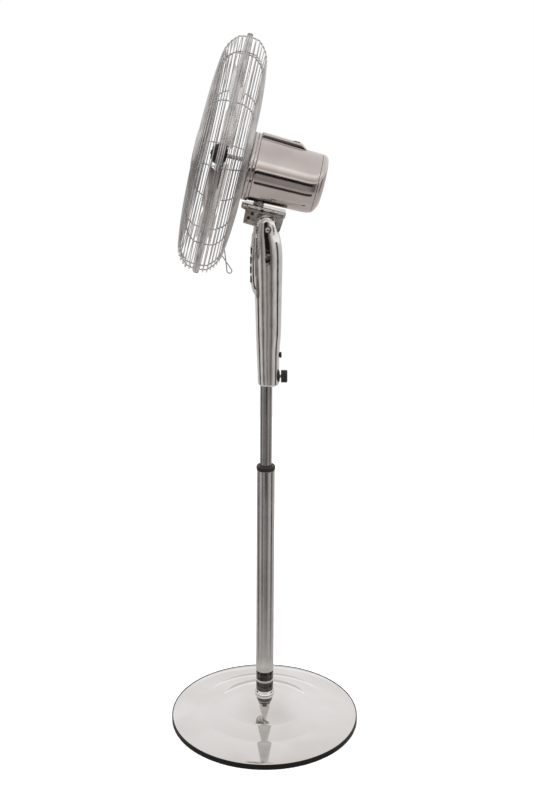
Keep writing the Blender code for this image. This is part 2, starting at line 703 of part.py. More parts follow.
def build_motor(head):
    """The motor's fixed pieces: brackets, bearings, core, windings, capacitor and gearbox case."""
    core = [(STATOR_R * x, STATOR_R * y) for x, y in (
        (1, 0.55), (0.55, 1), (-0.55, 1), (-1, 0.55), (-1, -0.55), (-0.55, -1), (0.55, -1), (1, -0.55))]
    thick = (STATOR_FRONT - STATOR_BACK) / 2
    plate("stator_core", [core, circle(0, 0, STATOR_BORE, 20)], thick, STEEL, head,
          (0, 0, (STATOR_FRONT + STATOR_BACK) / 2))
    coil = ((0.035, 0.0085), (0.0370, 0.0060), (0.0370, 0.0010), (0.0260, 0.0010), (0.0260, 0.0060),
            (0.0280, 0.0085))
    turned("front_winding", [(r, STATOR_FRONT + z) for r, z in coil], COPPER, head, steps=20)
    back = [(r, STATOR_BACK - z) for r, z in reversed(coil)]
    turned("rear_winding", back, COPPER, head, steps=20)
    seat_r = 0.0095
    for name, near, far in (("front_bracket", 0.0190, 0.0210), ("rear_bracket", -0.0250, -0.0230)):
        turned(name, tube(0.042, seat_r + GAP, near, far), STEEL, head, steps=20)
    for name, near, far in (("front_bearing", 0.0170, 0.0260), ("rear_bearing", -0.0285, -0.0215)):
        turned(name, tube(seat_r, SHAFT_R + 0.0001, near, far), BRASS, head, steps=16)
    box("capacitor", (-0.030, -0.0540, -0.0150), (-0.013, -0.0435, 0.0180), BLACK, head, 0.001)

    case = box("gearbox_case", (-0.0120, -0.0125, -0.0640), (0.0280, 0.0155, -0.0300), IRON, head)
    cut_box(case, "gearbox_space", (-0.0095, -0.0300, -0.0615), (0.0255, 0.0130, -0.0325), head)
    cut_round(case, "gearbox_bore", SHAFT_R + RUN, -0.0400, -0.0200, head, steps=16)


def build_gears(head):
    """The worm wheel with its pinion, the crank gear, and the link to the neck."""
    upright = (radians(-90), 0, 0)
    wheel_axis = axis_empty("wheel_axis", (WHEEL_X, 0, GEARS_Z), upright, head)
    wheel_r = WHEEL_X - WORM_R - MESH_GAP
    shaft_r = 0.0020
    wheel = plate("worm_wheel", [gear_outline(WHEEL_TEETH, wheel_r, TOOTH)], 0.0025, NYLON, wheel_axis)
    stem = turned("wheel_shaft", rod(shaft_r, -0.0515, 0.0060), None, wheel_axis, steps=10, hollow=False)
    combine(wheel, cutter(stem), "UNION")
    pinion = gear_outline(PINION_TEETH, PINION_R, TOOTH)
    small = plate("pinion", [pinion], 0.0020, None, wheel_axis, (0, 0, GEARS_Y))
    combine(wheel, cutter(small), "UNION")

    crank_r = PINION_R * CRANK_TEETH / PINION_TEETH
    crank_x = WHEEL_X - PINION_R - crank_r - MESH_GAP
    crank_axis = axis_empty("crank_axis", (crank_x, 0, GEARS_Z), upright, head)
    gear = plate("crank_gear", [gear_outline(CRANK_TEETH, crank_r, TOOTH)], THIN_GEAR, NYLON, crank_axis,
                 (0, 0, GEARS_Y))
    stem = turned("crank_stem", rod(0.0030, GEARS_Y, -0.0160), None, crank_axis, steps=12, hollow=False)
    combine(gear, cutter(stem), "UNION")
    face = GEARS_Y - THIN_GEAR
    pin = turned("crank_pin", rod(LINK_PIN_R, face - 0.0030, GEARS_Y), None, crank_axis, (CRANK_THROW, 0, 0),
                 steps=10, hollow=False)
    combine(gear, cutter(pin), "UNION")

    link_axis = axis_empty("link_axis", (CRANK_THROW, 0, 0), (0, 0, 0), crank_axis)
    eye = 0.0040
    reach_x = ANCHOR_ARM - (crank_x + CRANK_THROW)
    reach_z = -GEARS_Z
    length = hypot(reach_x, reach_z)
    heading = Vector((reach_x, -reach_z)).angle_signed(Vector((1, 0)))
    outline = arc(0, 0, eye, 90, 270, 7) + arc(length, 0, eye, -90, 90, 7)
    holes = [circle(0, 0, LINK_PIN_R + GAP, 10), circle(length, 0, LINK_PIN_R + GAP, 10)]
    half = LINK_THICK / 2
    plate("crank_link", [outline] + holes, half, STEEL, link_axis, (0, 0, face - RUN - half), (0, 0, heading))


# ---------------------------------------------------------------- fan and guard


def blade_mesh(name):
    """One pressed blade: flat where it lies on the hub plate, then wider, twisted and cupped."""
    rows, columns = 7, 6
    half_root, half_tip = radians(20), radians(37)
    mesh = bpy.data.meshes.new(name)
    points, faces = [], []
    for i in range(rows + 1):
        out = i / rows
        radius = BLADE_ROOT + (BLADE_R - BLADE_ROOT) * out
        half = half_root + (half_tip - half_root) * min(1, out * 1.7)
        if out > 0.8:
            half *= 1 - 0.55 * ((out - 0.8) / 0.2) ** 2
        sweep = radians(6) * out
        for j in range(columns + 1):
            across = 2 * j / columns - 1
            angle = sweep + half * across
            lift = min(1, max(0, (radius - HUB_PLATE_R) / 0.055))
            rise = lift * (BLADE_RISE * across - 0.0030 * (1 - across**2))
            points.append((radius * cos(angle), radius * sin(angle), rise))
    for i in range(rows):
        for j in range(columns):
            a = i * (columns + 1) + j
            b = a + columns + 1
            faces.append((a, b, b + 1, a + 1))
    mesh.from_pydata(points, [], faces)
    smooth(mesh)
    return mesh


def build_fan(fan):
    """The shaft with everything that spins on it."""
    middle = GEARS_Z - GUARD_AHEAD
    step = middle + 0.0115
    shaft = [(0, 0.0225), (SHAFT_R, 0.0225), (SHAFT_R, step), (SHAFT_THIN_R, step)]
    thread = 0.0036
    for i in range(4):
        z = middle + 0.0070 - thread * i
        shaft += [(WORM_R - 0.0012, z), (WORM_R, z - 0.0006), (WORM_R, z - 0.0020), (WORM_R - 0.0012, z - 0.0026)]
    end = middle - 0.0115
    turned("motor_shaft", shaft + [(SHAFT_THIN_R, end + 0.001), (SHAFT_THIN_R, end), (0, end)], STEEL, fan,
           steps=10, hollow=False)
    near, far = STATOR_BACK - GUARD_AHEAD, STATOR_FRONT - GUARD_AHEAD
    turned("rotor_core", tube(STATOR_BORE - RUN, SHAFT_R + GAP, near, far), STEEL, fan, steps=20)

    hub = [(0.0130, 0.0), (HUB_PLATE_R - 0.002, 0.0), (HUB_PLATE_R, -0.0012), (HUB_PLATE_R - 0.002, -0.0024)]
    hub += [(0.0145, -0.0024), (0.0145, -0.0200), (SHAFT_R + GAP, -0.0200), (SHAFT_R + GAP, 0.0)]
    turned("hub_plate", hub, BLACK, fan, (0, 0, HUB_PLATE_Z), steps=28)
    low = HUB_PLATE_Z + GAP
    spinner = [(0, 0.0250), (0.0090, 0.0240), (0.0150, 0.0190), (SPINNER_R, 0.0110), (SPINNER_R, low)]
    spinner += [(SHAFT_R + GAP, low), (SHAFT_R + GAP, 0.0227), (0, 0.0227)]
    turned("spinner", spinner, BLACK, fan, steps=20, hollow=False)
    for i in range(BLADES):
        name = f"blade_{i + 1}"
        turn = (0, 0, tau * i / BLADES + BLADE_FIRST)
        blade = place(name, blade_mesh(name), BLADE_METAL, fan, (0, 0, HUB_PLATE_Z + 0.0016), turn)
        thicken(blade, 0.0010)


GUARD_CURVE = ((0.0, 0.0500), (0.036, 0.0495), (0.090, 0.0477), (0.135, 0.0450), (0.167, 0.0414), (0.187, 0.0378),
               (0.200, 0.0315), (0.212, 0.0198), (GUARD_R, 0.0))


def cage(name, side, inner_r, parent, at):
    """One half of the guard: ring wires on radial ribs, as one lattice. side is 1 for front, -1 for rear."""
    radii = (inner_r, 0.092, 0.142, 0.180, 0.203, GUARD_R - RIM_WIRE_R)
    sections = []
    for radius in radii[:-1]:
        depth = between(radius, GUARD_CURVE)
        if side < 0:
            depth = min(depth, GUARD_REAR_DEPTH)
        sections.append((radius, side * (depth - WIRE_R)))
    sections.append((radii[-1], side * (RIM_WIRE_R + GAP)))
    count = RIBS * 2
    mesh = bpy.data.meshes.new(name)
    form = bmesh.new()
    rows = []
    for radius, z in sections:
        rows.append([form.verts.new((radius * cos(tau * i / count), radius * sin(tau * i / count), z))
                     for i in range(count)])
    for low, high in zip(rows, rows[1:]):
        for i in range(0, count, 2):
            j, k = (i + 1) % count, (i + 2) % count
            form.faces.new((low[i], high[i], high[j], high[k], low[k], low[j]))
    bmesh.ops.recalc_face_normals(form, faces=form.faces)
    form.to_mesh(mesh)
    form.free()
    made = place(name, mesh, SATIN, parent, at)
    wires = made.modifiers.new("wires", "WIREFRAME")
    wires.thickness = WIRE_R * 2
    wires.use_boundary = True
    wires.use_even_offset = True
    wires.use_replace = True
    return made


def build_guard(head):
    """Both guard halves, the centre plate and nut, the blank badge, the rim clips and the rear wire loop."""
    centre = (0, 0, GUARD_AHEAD)
    cage("front_guard", 1, BADGE_R - 0.002, head, centre)
    cage("rear_guard", -1, 0.046, head, centre)
    near = RING_FRONT + GAP
    turned("guard_plate", tube(0.0435, 0.0160, near, near + 0.0012), STEEL, head, steps=24)
    nut_low = near + 0.0012 + GAP
    nut = [(0.0240, nut_low + 0.0070), (0.0270, nut_low + 0.0050), (0.0270, nut_low), (MOUNT_R + GAP, nut_low),
           (MOUNT_R + GAP, nut_low + 0.0070)]
    turned("guard_nut", nut, BLACK, head, steps=20)
    face = GUARD_DEPTH + GAP
    badge = [(0, face + 0.0018), (BADGE_R - 0.006, face + 0.0012), (BADGE_R, face - 0.0004), (BADGE_R, face - 0.001)]
    badge += [(0, face - 0.001)]
    shift = 0.0010
    turned("front_badge", badge, CHROME, head, (0, 0, GUARD_AHEAD + shift), steps=28, hollow=False)

    for i, turn in enumerate((90, 0, -90, 180)):
        angle = radians(turn)
        hinge = (CLIP_HINGE_R * cos(angle), CLIP_HINGE_R * sin(angle), GUARD_AHEAD + CLIP_HINGE_Z)
        axis = axis_empty(f"clip_axis_{i + 1}", hinge, (0, 0, angle), head)
        low = (-0.0008, -CLIP_W / 2, -CLIP_HALF_D - CLIP_HINGE_Z)
        high = (CLIP_TOP_R - CLIP_HINGE_R, CLIP_W / 2, CLIP_HALF_D - CLIP_HINGE_Z)
        box(f"guard_clip_{i + 1}", low, high, SATIN, axis, 0.0008)

    loop = bpy.data.curves.new("rear_loop", "CURVE")
    loop.dimensions = "3D"
    loop.bevel_depth = WIRE_R
    loop.bevel_resolution = 1
    loop.use_fill_caps = True
    spline = loop.splines.new("POLY")
    leg_in, leg_out, tip = (-0.1690, -0.0425), (-0.1795, -0.0400), (-0.2080, -0.0620)
    bend = 0.0045
    heading = Vector(tip) - Vector(((leg_in[0] + leg_out[0]) / 2, (leg_in[1] + leg_out[1]) / 2))
    along = heading.normalized()
    side = Vector((-along.y, along.x))
    path = [Vector(leg_in)]
    centre_bend = Vector(tip) - along * bend
    for step in range(7):
        swing = radians(90 - 30 * step)
        path.append(centre_bend + along * bend * cos(swing) - side * bend * sin(swing))
    path.append(Vector(leg_out))
    spline.points.add(len(path) - 1)
    for point, (y, z) in zip(spline.points, path):
        point.co = (0, y, z, 1)
    place("rear_loop", loop, SATIN, head, centre)


def main():
    """Builds the fan from the floor up."""
    clear_scene()
    build_base()
    column = axis_empty("column_slide", (0, 0, 0))
    build_pole(column)
    build_column(column)
    build_controls(column)
    build_clamp(column)
    build_tilt_bolt(column)
    forward = (radians(90) - HEAD_TILT, 0, 0)
    neck = axis_empty("tilt_axis", (0, PIVOT_Y, PIVOT_Z), forward, column)
    build_neck(neck)
    head = axis_empty("oscillation_axis", (0, SHAFT_RISE, OSC_AHEAD), parent=neck)
    build_housing(head)
    build_pivot(head)
    build_motor(head)
    build_gears(head)
    fan = axis_empty("fan_axis", (0, 0, GUARD_AHEAD), parent=head)
    build_fan(fan)
    build_guard(head)


main()
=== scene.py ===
"""Looks of a plated pedestal fan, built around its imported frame.

Each sub-assembly is a class: its fields hold sizes in millimetres, and its methods make the pieces, dress
them and tie them to the frame's bodies. Finishes are small frozen dataclasses. The head's pieces are made
in the head's own frame: X across, Y up along the oscillation axis, Z forward along the motor's shaft.
"""

from __future__ import annotations

import json
import logging
from dataclasses import dataclass, field
from enum import Enum
from math import asin, atan2, cos, hypot, pi, radians, sin, sqrt, tau
from typing import Callable, Iterable, Sequence

import bmesh
import bpy
from mathutils import Matrix, Vector

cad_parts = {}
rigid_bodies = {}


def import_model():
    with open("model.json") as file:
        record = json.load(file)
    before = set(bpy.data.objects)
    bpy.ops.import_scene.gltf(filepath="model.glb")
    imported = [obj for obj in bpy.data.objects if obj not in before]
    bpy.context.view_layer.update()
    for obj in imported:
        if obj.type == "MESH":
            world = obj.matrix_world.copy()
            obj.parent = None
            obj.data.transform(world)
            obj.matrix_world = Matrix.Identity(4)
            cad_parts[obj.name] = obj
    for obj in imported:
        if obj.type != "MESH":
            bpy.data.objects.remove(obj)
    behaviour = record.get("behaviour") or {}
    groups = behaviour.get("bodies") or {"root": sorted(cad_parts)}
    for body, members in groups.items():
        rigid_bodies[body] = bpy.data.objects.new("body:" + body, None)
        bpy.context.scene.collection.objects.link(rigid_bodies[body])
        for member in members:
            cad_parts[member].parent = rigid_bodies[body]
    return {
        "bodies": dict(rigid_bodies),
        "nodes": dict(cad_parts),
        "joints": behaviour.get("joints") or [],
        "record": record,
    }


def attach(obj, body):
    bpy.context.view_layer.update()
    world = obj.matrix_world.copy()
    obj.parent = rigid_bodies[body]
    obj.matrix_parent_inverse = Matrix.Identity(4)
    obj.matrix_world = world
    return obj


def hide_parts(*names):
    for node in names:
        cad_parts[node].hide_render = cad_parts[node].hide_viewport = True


LOG = logging.getLogger("pedestal_fan")
MM = 0.001

Point2 = tuple[float, float]
Point3 = tuple[float, float, float]


# ------------------------------------------------------------------ finishes


def srgb(code: str) -> tuple[float, float, float, float]:
    """Turns an sRGB hex colour into the linear values that shaders take.

    Args:
        code: six hex digits, such as "c8beb9".

    Returns:
        Linear red, green, blue and an alpha of one.
    """
    channels = [int(code[i : i + 2], 16) / 255 for i in (0, 2, 4)]
    linear = [c / 12.92 if c <= 0.04045 else ((c + 0.055) / 1.055) ** 2.4 for c in channels]
    return (linear[0], linear[1], linear[2], 1.0)


def add_node(tree: bpy.types.NodeTree, kind: str, settings: dict | None = None, **links: object) -> bpy.types.Node:
    """Adds one node, sets its properties and inputs, and links what is given as a socket.

    Args:
        tree: the node tree.
        kind: the node's type name.
        settings: node properties, or input values for names that are inputs.
        links: input names, with spaces written as underscores, to the sockets that feed them.

    Returns:
        The new node.
    """
    node = tree.nodes.new(kind)
    for key, value in (settings or {}).items():
        if key in node.inputs:
            node.inputs[key].default_value = value
        elif isinstance(key, int):
            node.inputs[key].default_value = value
        else:
            setattr(node, key, value)
    for key, source in links.items():
        name = key.replace("_", " ").strip()
        target = node.inputs[int(name[2:])] if name.startswith("in") and name[2:].isdigit() else node.inputs[name]
        tree.links.new(source, target)
    return node


def ramp(tree: bpy.types.NodeTree, factor: bpy.types.NodeSocket, stops: Sequence[tuple[float, str]]) -> bpy.types.Node:
    """Adds a colour ramp through sRGB stops."""
    node = add_node(tree, "ShaderNodeValToRGB", None, Fac=factor)
    elements = node.color_ramp.elements
    while len(elements) < len(stops):
        elements.new(0.5)
    for element, (place, code) in zip(elements, sorted(stops)):
        element.position = place
        element.color = srgb(code)
    return node


class Grain(Enum):
    """Which way a surface's fine marks run, as a stretch of the object's own coordinates."""

    EVEN = (1.0, 1.0, 1.0)
    ALONG_Z = (1.0, 1.0, 0.03)
    ROUND_Z = (0.05, 0.05, 1.0)


@dataclass(frozen=True)
class PlatedMetal:
    """Chrome or nickel plate on steel or on plastic: a metal with a clear, slightly uneven mirror.

    Fields: name, the tint where it is clean and where it is hazy, its roughness, the pitch of its slow
    waviness and of its fine haze in millimetres, how strong the waves are, and the way its marks run.
    """

    name: str
    clean: str
    hazy: str
    roughness: float
    haze: float = 0.05
    wave_mm: float = 30.0
    mark_mm: float = 1.2
    wave: float = 0.02
    grain: Grain = Grain.EVEN
    anisotropic: float = 0.0

    def build(self) -> bpy.types.Material:
        """Makes the material."""
        made = bpy.data.materials.new(self.name)
        made.use_nodes = True
        tree = made.node_tree
        shader = tree.nodes["Principled BSDF"]
        shader.inputs["Metallic"].default_value = 1.0
        shader.inputs["Anisotropic"].default_value = self.anisotropic
        place = add_node(tree, "ShaderNodeTexCoord").outputs["Object"]
        stretched = add_node(tree, "ShaderNodeMapping", {"Scale": self.grain.value}, Vector=place)
        slow = add_node(tree, "ShaderNodeTexNoise", {"Scale": 1000 / self.wave_mm, "Detail": 2.0}, Vector=place)
        fine = add_node(tree, "ShaderNodeTexNoise", {"Scale": 1000 / self.mark_mm, "Detail": 3.0},
                        Vector=stretched.outputs[0])
        tint = ramp(tree, slow.outputs["Fac"], ((0.30, self.hazy), (0.62, self.clean)))
        tree.links.new(tint.outputs[0], shader.inputs["Base Color"])
        rough = add_node(tree, "ShaderNodeMapRange", {
            "From Min": 0.35, "From Max": 0.70, "To Min": self.roughness, "To Max": self.roughness + self.haze,
        }, Value=fine.outputs["Fac"])
        tree.links.new(rough.outputs[0], shader.inputs["Roughness"])
        bump = add_node(tree, "ShaderNodeBump", {"Strength": self.wave, "Distance": MM}, Height=slow.outputs["Fac"])
        fine_bump = add_node(tree, "ShaderNodeBump", {"Strength": self.wave, "Distance": 0.02 * MM},
                             Height=fine.outputs["Fac"], Normal=bump.outputs[0])
        tree.links.new(fine_bump.outputs[0], shader.inputs["Normal"])
        return made


@dataclass(frozen=True)
class Moulded:
    """Moulded plastic: a dielectric with a faint texture from the mould and a little wear in its gloss.

    Fields: name, body colour, a lighter scuffed colour, roughness, IOR, texture pitch in millimetres and
    how deep it looks.
    """

    name: str
    body: str
    scuffed: str
    roughness: float
    ior: float = 1.54
    texture_mm: float = 0.8
    depth: float = 0.12
    gloss: float = 0.5

    def build(self) -> bpy.types.Material:
        """Makes the material."""
        made = bpy.data.materials.new(self.name)
        made.use_nodes = True
        tree = made.node_tree
        shader = tree.nodes["Principled BSDF"]
        shader.inputs["IOR"].default_value = self.ior
        shader.inputs["Specular IOR Level"].default_value = self.gloss
        place = add_node(tree, "ShaderNodeTexCoord").outputs["Object"]
        fine = add_node(tree, "ShaderNodeTexNoise", {"Scale": 1000 / self.texture_mm, "Detail": 2.0}, Vector=place)
        slow = add_node(tree, "ShaderNodeTexNoise", {"Scale": 60.0, "Detail": 4.0}, Vector=place)
        tint = ramp(tree, slow.outputs["Fac"], ((0.45, self.body), (0.80, self.scuffed)))
        tree.links.new(tint.outputs[0], shader.inputs["Base Color"])
        rough = add_node(tree, "ShaderNodeMapRange", {
            "From Min": 0.3, "From Max": 0.8, "To Min": self.roughness, "To Max": self.roughness + 0.15,
        }, Value=slow.outputs["Fac"])
        tree.links.new(rough.outputs[0], shader.inputs["Roughness"])
        bump = add_node(tree, "ShaderNodeBump", {"Strength": self.depth, "Distance": 0.1 * MM},
                        Height=fine.outputs["Fac"])
        tree.links.new(bump.outputs[0], shader.inputs["Normal"])
        return made


@dataclass(frozen=True)
class RoughMetal:
    """Cast, rolled, laminated or wound metal: mottled colour, broken gloss and a visible grain.

    Fields: name, two colours that it varies between, roughness, grain pitch in millimetres, grain
    strength, and the height of a stacked layer in millimetres, or zero where there are no layers.
    """

    name: str
    dark: str
    light: str
    roughness: float
    grain_mm: float = 1.0
    depth: float = 0.3
    layer_mm: float = 0.0

    def build(self) -> bpy.types.Material:
        """Makes the material."""
        made = bpy.data.materials.new(self.name)
        made.use_nodes = True
        tree = made.node_tree
        shader = tree.nodes["Principled BSDF"]
        shader.inputs["Metallic"].default_value = 1.0
        place = add_node(tree, "ShaderNodeTexCoord").outputs["Object"]
        grain = add_node(tree, "ShaderNodeTexNoise", {"Scale": 1000 / self.grain_mm, "Detail": 5.0}, Vector=place)
        height = grain.outputs["Fac"]
        if self.layer_mm:
            layers = add_node(tree, "ShaderNodeTexWave", {
                "bands_direction": "Z", "Scale": 1000 / self.layer_mm / 6.283, "Distortion": 0.3,
            }, Vector=place)
            height = add_node(tree, "ShaderNodeMath", {"operation": "ADD"}, in0=height, in1=layers.outputs["Fac"]).outputs[0]
        tint = ramp(tree, height, ((0.30, self.dark), (0.75, self.light)))
        tree.links.new(tint.outputs[0], shader.inputs["Base Color"])
        rough = add_node(tree, "ShaderNodeMapRange", {
            "To Min": self.roughness, "To Max": min(1.0, self.roughness + 0.2),
        }, Value=grain.outputs["Fac"])
        tree.links.new(rough.outputs[0], shader.inputs["Roughness"])
        bump = add_node(tree, "ShaderNodeBump", {"Strength": self.depth, "Distance": 0.15 * MM}, Height=height)
        tree.links.new(bump.outputs[0], shader.inputs["Normal"])
        return made


@dataclass
class Finishes:
    """Every finish of the fan, each built once and shared."""

    # Bright chrome on a pressed steel dome: almost a pure mirror, with the press's long ripples.
    dome: PlatedMetal = PlatedMetal("bright chrome plate, base", "e6e4e2", "dddad7", 0.03, 0.02, 90.0, 2.0, 0.05)
    # Chrome on moulded ABS: brilliant, but the moulding under it is a little wavy, so reflections run.
    column: PlatedMetal = PlatedMetal("chrome plated ABS, column", "efedeb", "dedbd8", 0.05, 0.04, 22.0, 4.0, 0.45, Grain.ALONG_Z)
    # Nickel under thin chrome on the motor shell: a warmer, slightly pink mirror with fine drawn lines.
    shell: PlatedMetal = PlatedMetal("nickel chrome plate, motor", "cdc6c3", "c2bbb8", 0.07, 0.05, 60.0, 1.4, 0.05,
                                     Grain.ALONG_Z, 0.3)
    # Polished steel sleeve at the pole's foot.
    sleeve: PlatedMetal = PlatedMetal("polished steel, socket", "cfcac5", "bdb7b1", 0.06, 0.04, 14.0, 1.0, 0.20)
    # Chrome plate on the socket, its tint darkened to near black as painted dark reflection; the room still shows on it
    # in bright lines.
    dark: PlatedMetal = PlatedMetal("dark nickel plate, socket", "5e5c5b", "3c3a39", 0.05, 0.04, 12.0, 4.0, 0.35, Grain.ALONG_Z)
    # Satin nickel on drawn tube: soft highlights, with marks along the tube.
    tube: PlatedMetal = PlatedMetal("satin nickel tube", "cdccca", "bfbdba", 0.16, 0.08, 40.0, 1.6, 0.10, Grain.ALONG_Z, 0.3)
    # Plated wire: small, bright and slightly rough from drawing.
    # Satin steel on the sliding tube: darker, with marks along it.
    stem: PlatedMetal = PlatedMetal("satin steel, sliding tube", "b4b3b1", "a2a09d", 0.16, 0.10, 30.0, 1.2, 0.10, Grain.ALONG_Z, 0.3)
    # Nickel on a die casting: a mirror over an orange-peel surface, so that what it shows breaks up.
    casting: PlatedMetal = PlatedMetal("nickel plated casting", "cac6c2", "a39e9a", 0.12, 0.10, 7.0, 1.6, 0.45)
    wire: PlatedMetal = PlatedMetal("nickel plated wire", "c6c4c2", "aaa8a6", 0.12, 0.08, 18.0, 0.8, 0.05)
    # Pressed aluminium blade, rolled and brushed: pale, with wide soft highlights.
    blade: PlatedMetal = PlatedMetal("brushed aluminium, blades", "f6f2ef", "e6e0dc", 0.26, 0.12, 60.0, 0.9, 0.04,
                                     Grain.ROUND_Z, 0.3)
    # Zinc plated fasteners and stampings.
    zinc: PlatedMetal = PlatedMetal("zinc plated steel", "a9a8a4", "8b8a86", 0.28, 0.15, 6.0, 0.6, 0.10)
    bright_steel: PlatedMetal = PlatedMetal("ground steel, shaft", "b4b2ae", "9b9995", 0.18, 0.10, 8.0, 0.4, 0.05,
                                            Grain.ROUND_Z)
    bronze: PlatedMetal = PlatedMetal("sintered bronze", "a87f4a", "8a6437", 0.42, 0.15, 5.0, 0.5, 0.10)
    # Glossy black ABS for knobs and the hub, a rougher black for what rubs on the floor.
    black: Moulded = Moulded("black ABS", "0a0a0b", "161617", 0.38)
    rim_black: Moulded = Moulded("black PVC edging", "070708", "121213", 0.45, 1.53, 1.4, 0.25, 0.25)
    key: Moulded = Moulded("dark grey ABS, keys", "2c2c2f", "3d3d40", 0.34)
    nylon: Moulded = Moulded("natural nylon", "d8d3c4", "e6e2d6", 0.42, 1.53, 0.6, 0.15)
    iron: RoughMetal = RoughMetal("grey cast iron", "2a2826", "4c4a47", 0.62, 1.4, 0.6)
    laminate: RoughMetal = RoughMetal("laminated core steel", "4a4744", "8d8a86", 0.45, 0.8, 0.4, 1.0)
    copper: RoughMetal = RoughMetal("enamelled copper winding", "5f2412", "b8622f", 0.30, 0.9, 0.7, 1.2)
    built: dict[str, bpy.types.Material] = field(default_factory=dict)

    def get(self, kind: str) -> bpy.types.Material:
        """The built material of a finish, by its field's name."""
        if kind not in self.built:
            self.built[kind] = getattr(self, kind).build()
        return self.built[kind]


# ------------------------------------------------------------------ shapes


def rounded(corners: Sequence[tuple[float, float, float]], closed: bool = True, steps: int = 6) -> list[Point2]:
    """Rounds a polyline's corners.

    Args:
        corners: x, y and rounding radius of each corner.
        closed: whether the line joins its first point.
        steps: points on each rounding.

    Returns:
        The points of the rounded line.
    """
    points: list[Point2] = []
    count = len(corners)
    for i, (x, y, radius) in enumerate(corners):
        if radius <= 0 or (not closed and i in (0, count - 1)):
            points.append((x, y))
            continue
        here = Vector((x, y))
        before = Vector(corners[i - 1][:2]) - here
        after = Vector(corners[(i + 1) % count][:2]) - here
        half = before.angle(after) / 2
        reach = min(radius / max(1e-6, abs(sin(half) / cos(half))), 0.49 * before.length, 0.49 * after.length)
        start, end = here + before.normalized() * reach, here + after.normalized() * reach
        for k in range(steps + 1):
            t = k / steps
            spot = (1 - t) ** 2 * start + 2 * t * (1 - t) * here + t**2 * end
            points.append((spot.x, spot.y))
    return points


def finish_mesh(name: str, points: Sequence[Point3], faces: Sequence[Sequence[int]], sharp: float = 32.0) -> bpy.types.Mesh:
    """A smooth shaded mesh with its normals outwards and its edges sharp over an angle.

    Args:
        name: the mesh's name.
        points: its points in millimetres.
        faces: its faces.
        sharp: degrees over which an edge stays sharp.

    Returns:
        The mesh, in metres.
    """
    mesh = bpy.data.meshes.new(name)
    mesh.from_pydata([(x * MM, y * MM, z * MM) for x, y, z in points], [], faces)
    form = bmesh.new()
    form.from_mesh(mesh)
    bmesh.ops.remove_doubles(form, verts=form.verts, dist=1e-6)
    bmesh.ops.recalc_face_normals(form, faces=form.faces)
    form.to_mesh(mesh)
    form.free()
    mesh.shade_smooth()
    mesh.set_sharp_from_angle(angle=radians(sharp))
    return mesh


def turned(name: str, profile: Sequence[Point2], steps: int = 96, closed: bool = False, sharp: float = 32.0) -> bpy.types.Mesh:
    """Turns a (radius, height) profile about Z; a closed profile makes a ring."""
    points: list[Point3] = []
    faces: list[tuple[int, ...]] = []
    count = len(profile)
    for i in range(steps):
        angle = tau * i / steps
        points += [(r * cos(angle), r * sin(angle), z) for r, z in profile]
    for i in range(steps):
        a, b = i * count, (i + 1) % steps * count
        for j in range(count if closed else count - 1):
            k = (j + 1) % count
            faces.append((a + j, b + j, b + k, a + k))
    return finish_mesh(name, points, faces, sharp)


def lofted(name: str, rings: Sequence[Sequence[Point3]], caps: bool = True, sharp: float = 32.0) -> bpy.types.Mesh:
    """A skin through rings of equal point counts, capped at both ends if asked."""
    count = len(rings[0])
    faces: list[tuple[int, ...]] = []
    for level in range(len(rings) - 1):
        a, b = level * count, (level + 1) * count
        faces += [(a + i, a + (i + 1) % count, b + (i + 1) % count, b + i) for i in range(count)]
    if caps:
        last = (len(rings) - 1) * count
        faces += [tuple(range(count)), tuple(range(last, last + count))]
    return finish_mesh(name, [p for ring in rings for p in ring], faces, sharp)


def slab(name: str, outline: Sequence[Point2], low: float, high: float, edge: float = 0.0) -> bpy.types.Mesh:
    """An outline in XY raised from low to high, with its rims softened by edge."""
    if edge:
        middle = Vector((sum(p[0] for p in outline) / len(outline), sum(p[1] for p in outline) / len(outline)))
        inner = []
        for i, p in enumerate(outline):
            before, after = Vector(outline[i - 1]), Vector(outline[(i + 1) % len(outline)])
            along = (after - before).normalized()
            inward = Vector((-along.y, along.x))
            if inward.dot(middle - Vector(p)) < 0:
                inward = -inward
            inner.append((p[0] + inward.x * edge, p[1] + inward.y * edge))
        half = [tuple(a * 0.3 + b * 0.7 for a, b in zip(p, q)) for p, q in zip(inner, outline)]
        levels = [(low, inner), (low + 0.3 * edge, half), (low + edge, outline), (high - edge, outline),
                  (high - 0.3 * edge, half), (high, inner)]
    else:
        levels = [(low, outline), (high, outline)]
    return lofted(name, [[(x, y, z) for x, y in ring] for z, ring in levels])


def circle(radius: float, count: int, x: float = 0.0, y: float = 0.0) -> list[Point2]:
    """Points on a circle."""
    return [(x + radius * cos(tau * i / count), y + radius * sin(tau * i / count)) for i in range(count)]


def tube_points(path: Sequence[Vector], radius: float, sides: int, closed: bool) -> tuple[list[Point3], list[tuple[int, ...]]]:
    """Points and faces of a round wire along a path.

    Args:
        path: centre points in millimetres.
        radius: the wire's radius.
        sides: sides of its section.
        closed: whether the wire joins its start.

    Returns:
        Points and faces, which start at index zero.
    """
    points: list[Point3] = []
    faces: list[tuple[int, ...]] = []
    count = len(path)
    side = None
    for i, spot in enumerate(path):
        before = path[i - 1] if closed or i else spot
        after = path[(i + 1) % count] if closed or i < count - 1 else spot
        along = (after - before).normalized()
        if side is None:
            side = along.orthogonal().normalized()
        side = (side - along * side.dot(along)).normalized()
        up = along.cross(side)
        for k in range(sides):
            angle = tau * k / sides
            spot_k = spot + (side * cos(angle) + up * sin(angle)) * radius
            points.append(tuple(spot_k))
    for i in range(count if closed else count - 1):
        a, b = i * sides, (i + 1) % count * sides
        faces += [(a + k, a + (k + 1) % sides, b + (k + 1) % sides, b + k) for k in range(sides)]
    if not closed:
        last = (count - 1) * sides
        faces += [tuple(range(sides)), tuple(range(last, last + sides))]
    return points, faces


